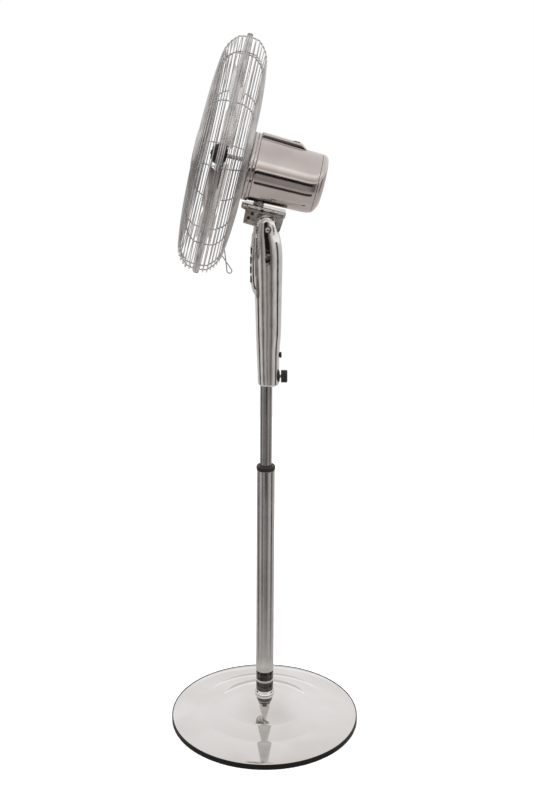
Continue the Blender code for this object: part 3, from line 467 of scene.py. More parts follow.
def wires(name: str, runs: Iterable[tuple[Sequence[Vector], float, int, bool]]) -> bpy.types.Mesh:
    """One mesh of several round wires."""
    points: list[Point3] = []
    faces: list[tuple[int, ...]] = []
    for path, radius, sides, closed in runs:
        more, skin = tube_points(path, radius, sides, closed)
        base = len(points)
        points += more
        faces += [tuple(base + i for i in face) for face in skin]
    return finish_mesh(name, points, faces, 60.0)


def between(x: float, table: Sequence[Point2]) -> float:
    """A smooth value at x through (x, value) rows in rising order."""
    if x <= table[0][0]:
        return table[0][1]
    for i, ((x0, y0), (x1, y1)) in enumerate(zip(table, table[1:])):
        if x <= x1:
            before = table[i - 1] if i else (x0, y0)
            after = table[i + 2] if i + 2 < len(table) else (x1, y1)
            slope0 = (y1 - before[1]) / (x1 - before[0]) if x1 != before[0] else 0.0
            slope1 = (after[1] - y0) / (after[0] - x0)
            width = x1 - x0
            t = (x - x0) / width
            return ((2 * t**3 - 3 * t**2 + 1) * y0 + (t**3 - 2 * t**2 + t) * width * slope0
                    + (3 * t**2 - 2 * t**3) * y1 + (t**3 - t**2) * width * slope1)
    return table[-1][1]


# ------------------------------------------------------------------ the frame, and how pieces join it


@dataclass
class Bench:
    """The loaded frame, the finishes, and one way to add a piece."""

    frame: dict
    finishes: Finishes
    count: int = 0

    def joint(self, name: str) -> dict:
        """A joint of the frame by name."""
        return next(j for j in self.frame["joints"] if j["name"] == name)

    def head_matrix(self) -> Matrix:
        """The head's frame: its origin is where the oscillation axis meets the motor's shaft."""
        swing, spin = self.joint("oscillation"), self.joint("fan_spin")
        up, ahead = Vector(swing["axis"]).normalized(), Vector(spin["axis"]).normalized()
        start = Vector(swing["pos_m"])
        origin = start + up * up.dot(Vector(spin["pos_m"]) - start)
        across = up.cross(ahead).normalized()
        turn = Matrix((across, up, ahead)).transposed().to_4x4()
        return Matrix.Translation(origin) @ turn

    def neck_matrix(self) -> Matrix:
        """The neck's frame: the head's directions, with its origin on the tilt axis."""
        made = self.head_matrix()
        made.translation = Vector(self.joint("head_tilt")["pos_m"])
        return made

    def add(self, name: str, mesh: bpy.types.Mesh, kind: str, body: str, slot: str,
            nodes: Sequence[str] = (), at: Matrix | None = None) -> bpy.types.Object:
        """Adds a piece, dresses it and ties it to a body.

        Args:
            name: the piece's name.
            mesh: its mesh.
            kind: a finish's field name.
            body: the body that it rides on.
            slot: the record's material slot; not used.
            nodes: the frame's nodes that it stands for.
            at: its own frame, or None for the row frame.

        Returns:
            The object.
        """
        made = bpy.data.objects.new(name, mesh)
        mesh.materials.clear()
        mesh.materials.append(self.finishes.get(kind))
        bpy.context.scene.collection.objects.link(made)
        if at is not None:
            made.matrix_world = at
        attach(made, body)
        if nodes:
            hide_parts(*nodes)
        self.count += 1
        LOG.info("piece %s on %s, %d points", name, body, len(mesh.vertices))
        return made

    def dress(self, kind: str, *nodes: str) -> None:
        """Gives nodes that keep their own shape a finish."""
        for name in nodes:
            node = self.frame["nodes"][name]
            node.data.materials.clear()
            node.data.materials.append(self.finishes.get(kind))
            LOG.info("node %s dressed in %s", name, kind)


# ------------------------------------------------------------------ base and pole


@dataclass
class Base:
    """The pressed dome with its soft steps and its black edging.

    Fields: the edging's outer radius and height, the crown's radius and height, the creases between the
    dome's zones as (radius, height), and how far each zone swells.
    """

    rim_r: float = 180.0
    edge_h: float = 9.0
    crown: Point2 = (17.6, 50.7)
    creases: tuple[Point2, ...] = ((44.0, 47.2), (85.0, 31.3), (125.0, 21.5), (174.0, 11.6))
    swell: tuple[float, ...] = (1.2, 1.5, 1.3, 1.5)

    def dome_line(self) -> list[Point2]:
        """The dome's outer line: each zone swells a little and dips to its crease."""
        line = [self.crown]
        for (r0, z0), (r1, z1), swell in zip((self.crown, *self.creases), self.creases, self.swell):
            for k in range(1, 17):
                t = k / 16
                line.append((r0 + (r1 - r0) * t, z0 + (z1 - z0) * t + swell * 4 * t * (1 - t)))
        return line + [(177.2, 10.4), (178.4, 9.4)]

    def build(self, bench: Bench) -> None:
        """Makes the dome and its edging, and dresses what is under it."""
        outer = self.dome_line()
        inner = [(r - 0.6, z - 1.2) for r, z in reversed(outer[:-1])]
        cover = turned("base_dome", [(6.6, self.crown[1]), *outer, *inner], 192, True, 40)
        bench.add("base_dome", cover, "dome", "base", "chrome_plate", ("base_cover",))
        r, h = self.rim_r, self.edge_h
        edging = rounded([
            (r - 14, h, 0), (r - 1.1, h, 0.3), (r - 1.0, h + 1.3, 0.3), (r - 0.3, h + 1.2, 0.4), (r - 0.2, h - 1.2, 0.6), (r - 0.2, h - 3.0, 0.4), (r - 0.9, h - 3.5, 0.3),
            (r - 0.2, h - 4.0, 0.4), (r, 0.0, 0.9), (r - 14, 0.0, 0.5),
        ])
        ring = turned("base_edging", edging, 192, True, 40)
        bench.add("base_edging", ring, "rim_black", "base", "black_plastic", ("base_edge_ring",))
        bench.dress("iron", "base_weight")
        bench.dress("zinc", "base_bolt")


@dataclass
class Pole:
    """The socket, the two tubes and the collar between them.

    Fields: radii and heights in millimetres, as the frame has them.
    """

    socket: tuple[float, float, float] = (16.5, 51.0, 98.7)
    outer: tuple[float, float, float] = (17.0, 99.0, 504.0)
    inner: tuple[float, float, float] = (11.2, 290.0, 730.0)
    collar: tuple[float, float, float] = (17.8, 504.6, 513.8)
    wall: float = 1.4

    def sleeve(self, radius: float, low: float, high: float, edge: float) -> list[Point2]:
        """A tube's closed profile with softened ends."""
        inside = radius - self.wall
        return rounded([(inside, low, 0.2), (radius, low, edge), (radius, high, edge), (inside, high, 0.2)], steps=3)

    def build(self, bench: Bench) -> None:
        """Makes the four pieces of the pole."""
        r, low, high = self.socket
        sleeve = rounded([
            (6.3, low + 8.0, 0), (r, low + 8.0, 0.4), (r, low + 24.0, 0.8), (r - 0.5, low + 25.0, 0.5), (r - 0.5, low + 30.0, 0.5),
            (r, low + 31.0, 0.8), (r, high, 0.5), (r - 1.9, high, 0.2), (r - 1.9, high + 36.3, 0.8), (6.3, high + 36.3, 0),
        ])
        # The foot wears the socket finish, whose near-black tint is painted dark reflection.
        bench.add("pole_foot", turned("pole_foot", sleeve, 128, True, 40), "dark", "base", "chrome_plate", ("pole_socket",))
        bead = rounded([(r - 0.7, low + 25.2, 0), (r + 0.35, low + 26.2, 0.9), (r + 0.35, low + 28.8, 0.9), (r - 0.7, low + 29.8, 0)])
        bench.add("pole_bead", turned("pole_bead", bead, 128, True, 40), "sleeve", "base", "chrome_plate")
        flange = rounded([
            (r - 1.0, low, 0), (r + 2.2, low, 0.5), (r + 2.4, low + 1.6, 0.9), (r + 1.4, low + 3.2, 1.0), (r + 1.7, low + 4.6, 0.8),
            (r + 0.6, low + 8.0, 1.6), (r - 1.0, low + 8.2, 0),
        ])
        bench.add("pole_flange", turned("pole_flange", flange, 128, True, 40), "dome", "base", "chrome_plate")
        r, low, high = self.outer
        bench.add("pole_outer", turned("pole_outer", self.sleeve(r, low, high, 0.5), 128, True, 40), "tube", "base",
                  "satin_tube", ("outer_tube",))
        r, low, high = self.inner
        bench.add("pole_inner", turned("pole_inner", self.sleeve(r, low, high, 0.4), 96, True, 40), "stem", "column",
                  "satin_tube", ("inner_tube",))
        r, low, high = self.collar
        ring = rounded([
            (11.8, low, 0.3), (r - 0.5, low, 0.6), (r, low + 2.0, 0.5), (r, high - 2.2, 1.2), (r - 1.8, high, 0.9), (11.8, high, 0.5),
        ])
        bench.add("pole_collar", turned("pole_collar", ring, 96, True, 40), "black", "collar", "black_plastic",
                  ("height_collar",))
        bench.dress("nylon", "tube_bush")


# ------------------------------------------------------------------ switch column


@dataclass
class Column:
    """The plated switch column with its fork, its swollen panel and keys, and its small parts.

    Fields: how its front, rear and half width run with height, the panel's front, the fork's sizes, and the
    keys' size and heights.
    """

    front: tuple[Point2, ...] = ((670, -15.4), (736, -18.1), (765, -19.3), (831, -21.5), (930, -25.2), (952, -25.6),
                                 (966, -24.8), (974, -23.2), (980, -20.6), (984, -17.5), (986.4, -13.5), (987, -11.0))
    rear: tuple[Point2, ...] = ((670, 23.3), (736, 24.3), (765, 26.3), (831, 27.4), (891, 28.2), (919, 27.9), (940, 25.6),
                                (956, 21.8), (968, 19.5), (976, 17.6), (981.5, 15.4), (985, 12.4), (986.6, 9.5), (987, 8.0))
    half_w: tuple[Point2, ...] = ((670, 19.5), (765, 22.0), (831, 24.5), (900, 27.5), (965.5, 27.3), (980, 27.0), (987, 26.0))
    roundness: float = 2.25
    panel: tuple[Point2, ...] = ((838, -21.5), (846, -25.2), (854, -27.9), (866, -29.9), (891, -30.7), (919, -30.1),
                                 (957, -27.5))
    cheek_half_w: float = 27.2
    slot: tuple[float, float] = (13.0, 942.5)
    key: tuple[float, float] = (24.0, 12.5)
    key_pitch: float = 17.5
    panel_half_w: float = 21.5

    def ring(self, z: float, front: Sequence[Point2], inset: float = 0.0, count: int = 96) -> list[Point3]:
        """A rounded-square outline at height z."""
        a, b = between(z, front), between(z, self.rear)
        mid, half_y, half_x = (a + b) / 2, (b - a) / 2 - inset, between(z, self.half_w) - inset
        points = []
        for i in range(count):
            c, s = cos(tau * i / count), sin(tau * i / count)
            x = abs(c) ** (2 / self.roundness) * (1 if c >= 0 else -1)
            y = abs(s) ** (2 / self.roundness) * (1 if s >= 0 else -1)
            points.append((half_x * x, mid + half_y * y, z))
        return points

    def shell(self) -> bpy.types.Mesh:
        """The column's body: its lofted housing, cut by the fork's slot."""
        low, high = self.front[0][0], self.front[-1][0]
        soft = 4.0
        levels = [(low + soft * (1 - cos(t * pi / 12)), soft * (1 - sin(t * pi / 12))) for t in range(7)]
        levels += [(low + soft + (high - low - soft - 12) * k / 44, 0.0) for k in range(1, 45)]
        levels += [(high - 12 * (1 - k / 14), 0.0) for k in range(1, 15)]
        body = lofted("column_body_skin", [self.ring(z, self.front, inset) for z, inset in levels], True, 40)
        slot_w, floor = self.slot
        gap = slab("slot_skin", rounded([(-slot_w, floor, 3), (slot_w, floor, 3), (slot_w, 1010, 0), (-slot_w, 1010, 0)]),
                   -60, 60)
        gap.transform(Matrix(((1, 0, 0, 0), (0, 0, 1, 0), (0, 1, 0, 0), (0, 0, 0, 1))))
        return carved(body, (("DIFFERENCE", gap),), 0.5)

    def swell(self) -> bpy.types.Mesh:
        """The panel: the column's own outline pushed forward, kept within the panel's width."""
        low, high = self.panel[0][0], self.panel[-1][0]
        rings = []
        for k in range(25):
            z = low + (high - low) * k / 24
            inset = 1.3 * (max(0.0, 1 - k / 1.5) ** 2 + max(0.0, 1 - (24 - k) / 1.5) ** 2)
            whole = [(x, y) for x, y, _ in self.ring(z, self.panel, inset, 192) if y < -19.0]
            whole = sorted(((x, y) for x, y in whole if abs(x) <= self.panel_half_w - inset))
            xs = [(-1 + 2 * i / 40) * (self.panel_half_w - inset) for i in range(41)]
            front = [(x, min(-19.8, between(x, whole))) for x in xs]
            edge = [(x, y + 0.9 * max(0.0, abs(i - 20) - 18.5) ** 1.5) for i, (x, y) in enumerate(front)]
            rings.append([(x, y, z) for x, y in edge] + [(edge[-1][0], -19.4, z), (edge[0][0], -19.4, z)])
        return lofted("panel_skin", rings, True, 40)

    def key_face(self, z: float) -> bpy.types.Mesh:
        """A key: a cushioned front on a straight shank, with softened edges and a shallow finger dish."""
        w, h = self.key[0] / 2, self.key[1] / 2
        front = between(z, self.panel) - 0.3
        outline = rounded([(-w, -h, 1.6), (w, -h, 1.6), (w, h, 1.6), (-w, h, 1.6)], steps=5)
        rings = []
        for depth, inset in ((9.5, 0.0), (1.2, 0.0), (0.5, 0.25), (0.12, 0.7), (0.0, 1.3), (0.15, 3.0), (0.35, 4.6)):
            kx, ky = (w - inset) / w, (h - inset) / h
            rings.append([(x * kx, front + depth, z + y * ky) for x, y in outline])
        return lofted("key_skin", rings, True, 45)

    def build(self, bench: Bench) -> None:
        """Makes the column, its panel, keys, knob, gland and fork bolt."""
        bench.add("column_shell", self.shell(), "column", "column", "chrome_plate", ("column_body",))
        bench.add("panel_shell", self.swell(), "column", "column", "chrome_plate", ("control_panel",))
        middle = (self.panel[0][0] + self.panel[-1][0]) / 2
        for i, name in enumerate(("key_high", "key_medium", "key_low", "key_off")):
            z = middle + self.key_pitch * (1.5 - i)
            bench.add(name + "_cap", self.key_face(z), "key", name, "key_plastic", (name,))
        back = Matrix.Translation((0, 0, 0.686)) @ Matrix.Rotation(radians(-90), 4, "X")
        lobes = []
        for k in range(144):
            angle = tau * k / 144
            lobes.append((angle, 11.3 + 0.5 * cos(18 * angle)))
        rings = []
        for z, keep in ((27.2, 0.90), (27.7, 0.955), (28.6, 0.985), (32.1, 1.0), (32.5, 0.93), (33.3, 0.93), (33.7, 1.0),
                        (37.4, 0.985), (38.4, 0.95), (38.9, 0.88), (39.0, 0.80), (38.6, 0.62), (38.6, 0.05)):
            rings.append([(r * keep * cos(a), r * keep * sin(a), z) for a, r in lobes])
        knob = lofted("knob_skin", rings, True, 40)
        bench.add("clamp_grip", knob, "black", "clamp", "black_plastic", ("clamp_knob",), back)
        screw = turned("clamp_screw", rounded([(0, 11.6, 0), (3.0, 11.6, 0.4), (3.0, 27.6, 0), (0, 27.6, 0)], False), 48)
        bench.add("clamp_screw", screw, "zinc", "clamp", "steel", (), back)
        seat = rounded([(3.5, 20.9, 0), (11.8, 20.9, 0.3), (11.8, 22.8, 0.5), (9.8, 24.6, 1.0), (5.0, 25.0, 0.5), (3.5, 24.9, 0)])
        bench.add("clamp_seat", turned("clamp_seat", seat, 72, True, 40), "black", "column", "black_plastic", ("knob_seat",), back)
        rear = Matrix.Translation((0, 0, 0.727)) @ Matrix.Rotation(radians(-90), 4, "X")
        gland = rounded([(2.6, 12.0, 0), (3.8, 12.0, 0), (3.8, 24.4, 0.2), (5.5, 24.4, 0.3), (5.5, 26.6, 0.5), (4.6, 27.9, 0.6),
                         (2.9, 28.2, 0.4), (2.6, 27.6, 0)])
        bench.add("gland", turned("gland", gland, 48, True, 40), "black", "column", "black_plastic", ("cord_gland",), rear)
        self.bolt(bench)
        bench.dress("black", "switch_block")

    def bolt(self, bench: Bench) -> None:
        """The fork bolt: a dark washer face round a bright domed head, and its nut."""
        half_w = self.cheek_half_w
        at = Matrix.Translation((0, 0.001, 0.965)) @ Matrix.Rotation(radians(90), 4, "Y")
        washer = rounded([(4.2, half_w + 0.1, 0), (6.8, half_w + 0.1, 0.3), (6.8, half_w + 1.2, 0.5), (4.0, half_w + 1.5, 0.3)])
        head = rounded([(0, -half_w - 6.0, 0), (3.8, -half_w - 6.0, 0.6), (4.0, half_w + 0.9, 0), (4.9, half_w + 1.0, 0.2),
                        (4.7, half_w + 2.7, 0.8), (2.6, half_w + 3.2, 0.6), (1.8, half_w + 2.4, 0.3), (0, half_w + 2.3, 0)], False)
        bench.add("bolt_head", turned("bolt_head", head, 72, False, 40), "sleeve", "column", "steel", ("tilt_bolt",), at)
        bench.add("bolt_washer", turned("bolt_washer", washer, 72, True, 40), "black", "column", "steel", (), at)
        hexagon = [(6.8 * cos(tau * k / 6), 6.8 * sin(tau * k / 6), 0.5) for k in range(6)]
        nut = slab("bolt_nut", rounded(hexagon, steps=3), -half_w - 5.3, -half_w - 0.3, 0.5)
        bench.add("bolt_nut", nut, "zinc", "column", "steel", ("tilt_nut",), at)


def carved(mesh: bpy.types.Mesh, steps: Sequence[tuple[str, bpy.types.Mesh]], edge: float) -> bpy.types.Mesh:
    """Applies Booleans and a small bevel to a mesh.

    Args:
        mesh: what is carved.
        steps: each operation with its tool.
        edge: the bevel's width in millimetres.

    Returns:
        The finished mesh.
    """
    scene = bpy.context.scene
    body = bpy.data.objects.new("carved", mesh)
    scene.collection.objects.link(body)
    tools = []
    for operation, tool_mesh in steps:
        tool = bpy.data.objects.new("tool", tool_mesh)
        scene.collection.objects.link(tool)
        tools.append(tool)
        cut = body.modifiers.new(operation, "BOOLEAN")
        cut.operation = operation
        cut.solver = "EXACT"
        cut.object = tool
    bevel = body.modifiers.new("edge", "BEVEL")
    bevel.width = edge * MM
    bevel.segments = 3
    bevel.limit_method = "ANGLE"
    bevel.angle_limit = radians(50)
    bpy.context.view_layer.update()
    made = bpy.data.meshes.new_from_object(body.evaluated_get(bpy.context.evaluated_depsgraph_get()))
    for spent in (body, *tools):
        bpy.data.objects.remove(spent)
    made.shade_smooth()
    made.set_sharp_from_angle(angle=radians(40))
    return made


# ------------------------------------------------------------------ neck


@dataclass
class Neck:
    """The tilting tongue, the plate on it, and the screws that hold them together.

    Fields: the tongue's side outline as (forward, up, rounding), its half width, the plate's heights, half
    width, front radius and rear, and where the pivot stands ahead of the tilt axis.
    """

    tongue: tuple[tuple[float, float, float], ...] = (
        (47.0, 25.2, 0.8), (-24.2, 25.2, 0.8), (-23.4, 12.0, 4.0), (-22.4, 0.0, 6.0), (-17.8, -7.0, 8.0), (-9.0, -16.2, 9.0),
        (0.0, -18.4, 9.0), (10.0, -15.5, 8.0), (17.5, -7.5, 8.0), (24.0, -1.4, 6.0), (46.0, 0.0, 2.5),
    )
    half_w: float = 12.4
    plate: tuple[float, float] = (25.4, 36.4)
    plate_half_w: float = 24.0
    plate_r: float = 30.0
    plate_rear: float = -25.8
    ahead: float = 26.0

    def build(self, bench: Bench) -> None:
        """Makes the tongue, the plate and the visible screws."""
        at = bench.neck_matrix()
        side = at @ Matrix(((0, 0, 1, 0), (0, 1, 0, 0), (1, 0, 0, 0), (0, 0, 0, 1)))
        outline = rounded(self.tongue, steps=8)
        bench.add("neck_tongue", slab("neck_tongue", outline, -self.half_w, self.half_w, 1.6), "casting", "neck",
                  "chrome_plate", ("neck_bracket",), side)
        self.top(bench, at)
        for k, (z, v) in enumerate(((38.4, 11.4), (33.6, 20.0))):
            cap = rounded([(0, 0.0, 0), (3.1, 0.0, 0.2), (3.1, 0.5, 0.3), (2.4, 0.7, 0.2), (1.6, 0.2, 0.2), (0, 0.2, 0)], False)
            place = at @ Matrix.Translation((self.half_w * MM, v * MM, z * MM)) @ Matrix.Rotation(radians(90), 4, "Y")
            bench.add(f"neck_screw_{k + 1}", turned(f"neck_screw_{k + 1}", cap, 40, False, 40), "black", "neck", "steel", (), place)
        bench.dress("zinc", "pivot_post")

    def top(self, bench: Bench, at: Matrix) -> None:
        """The plate, a slab round in front, with a lock behind its corner."""
        low, high = self.plate
        swing = 53.0
        front = [(self.plate_r * cos(radians(90 - swing + 2 * swing * k / 36)),
                  self.ahead + self.plate_r * sin(radians(90 - swing + 2 * swing * k / 36))) for k in range(37)]
        w, rear = self.plate_half_w, self.plate_rear
        back = rounded([(-w, 4.0, 3), (-w, rear, 7), (w, rear, 7), (w, 4.0, 3)], False, 8)
        outline = [(x, z) for x, z in front] + back
        flat = at @ Matrix(((1, 0, 0, 0), (0, 0, 1, 0), (0, 1, 0, 0), (0, 0, 0, 1)))
        mesh = slab("neck_top", outline, low, high, 1.4)
        bench.add("neck_top", mesh, "casting", "neck", "chrome_plate", ("neck_plate",), flat)
        lock = rounded([(-2.6, -2.6, 0.6), (2.6, -2.6, 0.6), (2.6, 2.6, 0.6), (-2.6, 2.6, 0.6)])
        place = at @ Matrix.Translation((0.0238, 0.0308, 0.0175)) @ Matrix.Rotation(radians(90), 4, "Y")
        bench.add("neck_lock", slab("neck_lock", lock, 0.0, 0.6, 0.25), "black", "neck", "steel", (), place)


# ------------------------------------------------------------------ motor head


@dataclass
class Head:
    """The motor's plated shells, with the ridge along the top and the knob in it.

    Fields: the shells' top and bottom lines from the rear to the front ring as (forward, up), the seam, the
    ring's sizes, and the ridge's sizes.
    """

    top: tuple[Point2, ...] = ((-105.0, 30.0), (-104.4, 34.4), (-102.6, 38.0), (-99.6, 40.9), (-96.0, 42.1), (-92.6, 42.4),
                               (-60.0, 44.3), (22.4, 49.0))
    bottom: tuple[Point2, ...] = ((-105.0, -42.0), (-104.6, -47.0), (-102.6, -53.0), (-99.0, -60.0), (-96.0, -63.6),
                                  (-92.6, -65.6), (-82.6, -67.7), (-60.0, -68.1), (22.4, -69.0))
    seam: float = -92.6
    ring: tuple[float, float, float, float] = (22.4, 34.7, 62.5, -8.0)
    ridge: tuple[float, float, float, float] = (12.0, 7.6, -50.0, -62.0)
    clutch: tuple[float, float] = (-40.6, 7.5)
    sides: int = 128

    def outline(self, z: float, inset: float = 0.0) -> list[Point3]:
        """The shell's round section at z."""
        high, low = between(z, self.top), between(z, self.bottom)
        radius, mid = (high - low) / 2 - inset, (high + low) / 2
        return [(radius * cos(tau * i / self.sides), mid + radius * sin(tau * i / self.sides), z) for i in range(self.sides)]

    def shell(self) -> bpy.types.Mesh:
        """The front shell with its rolled ends."""
        front = self.ring[0] - 0.4
        levels = [(self.seam + 0.05, 1.6), (self.seam + 0.05, 0.5), (self.seam + 0.25, 0.15), (self.seam + 0.6, 0.0)]
        levels += [(self.seam + 0.6 + (front - self.seam - 1.4) * k / 30, 0.0) for k in range(1, 31)]
        levels += [(front - 0.3, 0.15), (front, 0.6), (front, 1.7)]
        return lofted("shell_skin", [self.outline(z, inset) for z, inset in levels], False, 40)

    def hump(self) -> bpy.types.Mesh:
        """The ridge: a soft-cornered rail that ends in a slope."""
        half_w, rise, level, toe = self.ridge
        front = self.ring[0] - 0.4
        stations = [(front, -1.0), (front, rise - 2.0), (front - 0.7, rise - 0.8), (front - 2.4, rise - 0.1)]
        stations += [(front - 3.4 - (front - 3.4 - level) * k / 12, rise) for k in range(13)]
        stations += [(level - 1.4, rise - 0.3), (level - 3.2, rise - 1.4), (toe + 1.5, 0.6), (toe, -0.6), (toe - 0.4, -2.0)]
        rings = []
        for z, up in stations:
            base = between(max(z, self.seam), self.top) - 2.2
            top = base + 2.2 + up
            corners = [(-half_w, base, 0), (-half_w, top, 3.0), (half_w, top, 3.0), (half_w, base, 0)]
            rings.append([(x, y + 0.45 * (1 - (x / half_w) ** 2), z) for x, y in rounded(corners, False, 8)])
        return lofted("ridge_skin", rings, True, 40)

    def build(self, bench: Bench) -> None:
        """Makes the shells, the front ring, the ridge, the knob and the rear cover."""
        at = bench.head_matrix()
        bench.add("motor_shell", self.shell(), "shell", "head", "satin_housing", ("motor_housing",), at)
        bench.add("motor_ridge", self.hump(), "shell", "head", "satin_housing", (), at)
        low, high, radius, drop = self.ring
        ring = rounded([
            (12.4, high - 4.0, 0), (12.4, high + 8.4, 0), (9.8, high + 8.4, 0), (9.8, high - 4.6, 0), (radius - 6.0, high - 4.6, 0.5),
            (radius - 6.0, low, 0.3), (radius - 0.2, low, 1.0), (radius, low + 4.0, 0.5), (radius - 0.5, low + 5.6, 0.8),
            (radius, low + 7.2, 0.5), (radius, high, 2.4), (radius - 8.0, high - 0.3, 2.0), (radius - 14.0, high - 2.0, 2.0),
            (13.0, high - 2.0, 0.5),
        ])
        place = at @ Matrix.Translation((0, drop * MM, 0))
        bench.add("motor_ring", turned("motor_ring", ring, 160, True, 40), "shell", "head", "chrome_plate", ("front_ring",), place)
        z0 = self.seam - 0.35
        levels = [(z0, 2.0), (z0, 0.5), (z0 - 0.25, 0.12), (z0 - 0.7, 0.0)]
        levels += [(z0 - 0.7 - (104.99 + z0 - 0.7) * k / 16, 0.0) for k in range(1, 17)]
        levels += [(-105.3, 3.0), (-105.5, 9.0), (-105.6, 20.0), (-105.6, 34.0)]
        cover = lofted("cover_skin", [self.outline(max(z, -105.0) if z > -105.2 else -105.0, inset) if z > -105.2
                                      else [(x, y, z) for x, y, _ in self.outline(-105.0, inset)] for z, inset in levels], True, 40)
        bench.add("motor_cover", cover, "shell", "head", "satin_housing", ("rear_cover",), at)
        z, radius = self.clutch
        top = between(z, self.top) + self.ridge[1] + 1.0
        knob = rounded([(0, top, 0), (radius - 1.4, top, 0.8), (radius, top - 1.2, 0.6), (radius, top - 10, 0), (0, top - 10, 0)], False)
        upright = at @ Matrix.Translation((0, 0, z * MM)) @ Matrix.Rotation(radians(-90), 4, "X")
        bench.add("clutch_cap", turned("clutch_cap", knob, 64, False, 40), "black", "clutch", "black_plastic",
                  ("oscillation_knob",), upright)
        self.pivot(bench, at)
        bench.dress("laminate", "stator_core", "rotor_core")
        bench.dress("copper", "front_winding", "rear_winding")
        bench.dress("zinc", "front_bracket", "rear_bracket", "rear_screw", "crank_link", "guard_plate")
        bench.dress("bronze", "front_bearing", "rear_bearing")
        bench.dress("nylon", "worm_wheel", "crank_gear")
        bench.dress("iron", "gearbox_case")
        bench.dress("black", "capacitor")
        bench.dress("bright_steel", "motor_shaft")

    def pivot(self, bench: Bench, at: Matrix) -> None:
        """The boss that the head turns on."""
        low, high = -73.5, -60.5
        boss = rounded([(6.5, low, 0), (10.4, low, 0.6), (10.6, low + 1.6, 0.5), (9.6, low + 2.4, 0.4), (9.6, low + 4.0, 0.4),
                        (11.0, low + 5.0, 0.5), (11.0, high, 0.3), (6.5, high, 0)])
        upright = at @ Matrix.Rotation(radians(-90), 4, "X")
        bench.add("boss", turned("boss", boss, 72, True, 40), "casting", "head", "black_plastic", ("pivot_boss",), upright)


# ------------------------------------------------------------------ fan


@dataclass
class Fan:
    """The spinning part: the black hub plate and nose, and four pressed blades.

    Fields: where the blades start and end, how far an edge stands off the plane, the hub plate's radius and
    place, and the nose's radius.
    """

    root: float = 40.0
    tip: float = 176.0
    rise: float = 14.5
    plate_r: float = 63.0
    plate_z: float = -4.0
    nose_r: float = 19.0
    blades: int = 4

    def blade(self) -> bpy.types.Mesh:
        """One blade: flat on the hub plate, then wider, twisted and cupped, with a stiffening swage."""
        rows, columns, thick = 44, 32, 0.9
        half_root, half_tip = radians(20), radians(37)
        top: list[Point3] = []
        for i in range(rows + 1):
            out = i / rows
            radius = self.root + (self.tip - self.root) * out
            half = half_root + (half_tip - half_root) * min(1, out * 1.7)
            if out > 0.8:
                half *= 1 - 0.55 * ((out - 0.8) / 0.2) ** 2
            for j in range(columns + 1):
                across = 2 * j / columns - 1
                angle = radians(6) * out + half * across
                lift = min(1, max(0, (radius - self.plate_r) / 55))
                swage = 0.9 * lift * max(0.0, 1 - abs(across) / 0.12) ** 2 * min(1, (1 - out) * 5)
                z = lift * (self.rise * across - 3.0 * (1 - across**2)) + swage
                top.append((radius * cos(angle), radius * sin(angle), z))
        count, wide = len(top), columns + 1
        points = [(x, y, z + thick / 2) for x, y, z in top] + [(x, y, z - thick / 2) for x, y, z in top]
        faces: list[tuple[int, ...]] = []
        for i in range(rows):
            for j in range(columns):
                a = i * wide + j
                faces += [(a, a + wide, a + wide + 1, a + 1), (count + a, count + a + 1, count + a + wide + 1, count + a + wide)]
        rim = [j for j in range(wide)] + [i * wide + columns for i in range(1, rows + 1)]
        rim += [rows * wide + columns - j for j in range(1, wide)] + [(rows - i) * wide for i in range(1, rows)]
        faces += [(a, b, b + count, a + count) for a, b in zip(rim, rim[1:] + rim[:1])]
        return finish_mesh("blade_skin", points, faces, 50)

    def build(self, bench: Bench) -> None:
        """Makes the blades, the hub plate and the nose."""
        spin = bench.joint("fan_spin")
        at = bench.head_matrix()
        at.translation = Vector(spin["pos_m"])
        mesh = self.blade()
        for k in range(self.blades):
            turn = at @ Matrix.Rotation(radians(45) + tau * k / self.blades, 4, "Z")
            bench.add(f"blade_skin_{k + 1}", mesh.copy(), "blade", "fan", "blade_metal", (f"blade_{k + 1}",), turn)
        z, r = self.plate_z, self.plate_r
        disc = rounded([
            (4.2, z - 4.0, 0), (4.2, z + 5.0, 0), (13.0, z + 5.0, 1.0), (15.0, z + 2.6, 1.0), (30.0, z + 2.2, 2.0), (34.0, z + 1.0, 2.0),
            (r - 5.0, z + 1.0, 1.0), (r, z + 0.2, 0.8), (r, z - 0.9, 0.6), (r - 4.0, z - 1.0, 0.5), (13.0, z - 1.0, 0.5), (11.0, z - 4.0, 0.8),
        ])
        bench.add("hub_disc", turned("hub_disc", disc, 120, True, 40), "black", "fan", "black_plastic", ("hub_plate",), at)
        r = self.nose_r
        nose = rounded([(0, 21.0, 0), (8.0, 20.4, 3.0), (15.0, 17.4, 4.0), (r - 0.6, 11.0, 3.0), (r, 5.5, 1.5), (r - 0.6, 2.4, 0.5),
                        (r - 3.0, 2.0, 0.4), (0, 2.0, 0)], False, 8)
        bench.add("nose", turned("nose", nose, 96, False, 40), "black", "fan", "black_plastic", ("spinner",), at)


# ------------------------------------------------------------------ guard


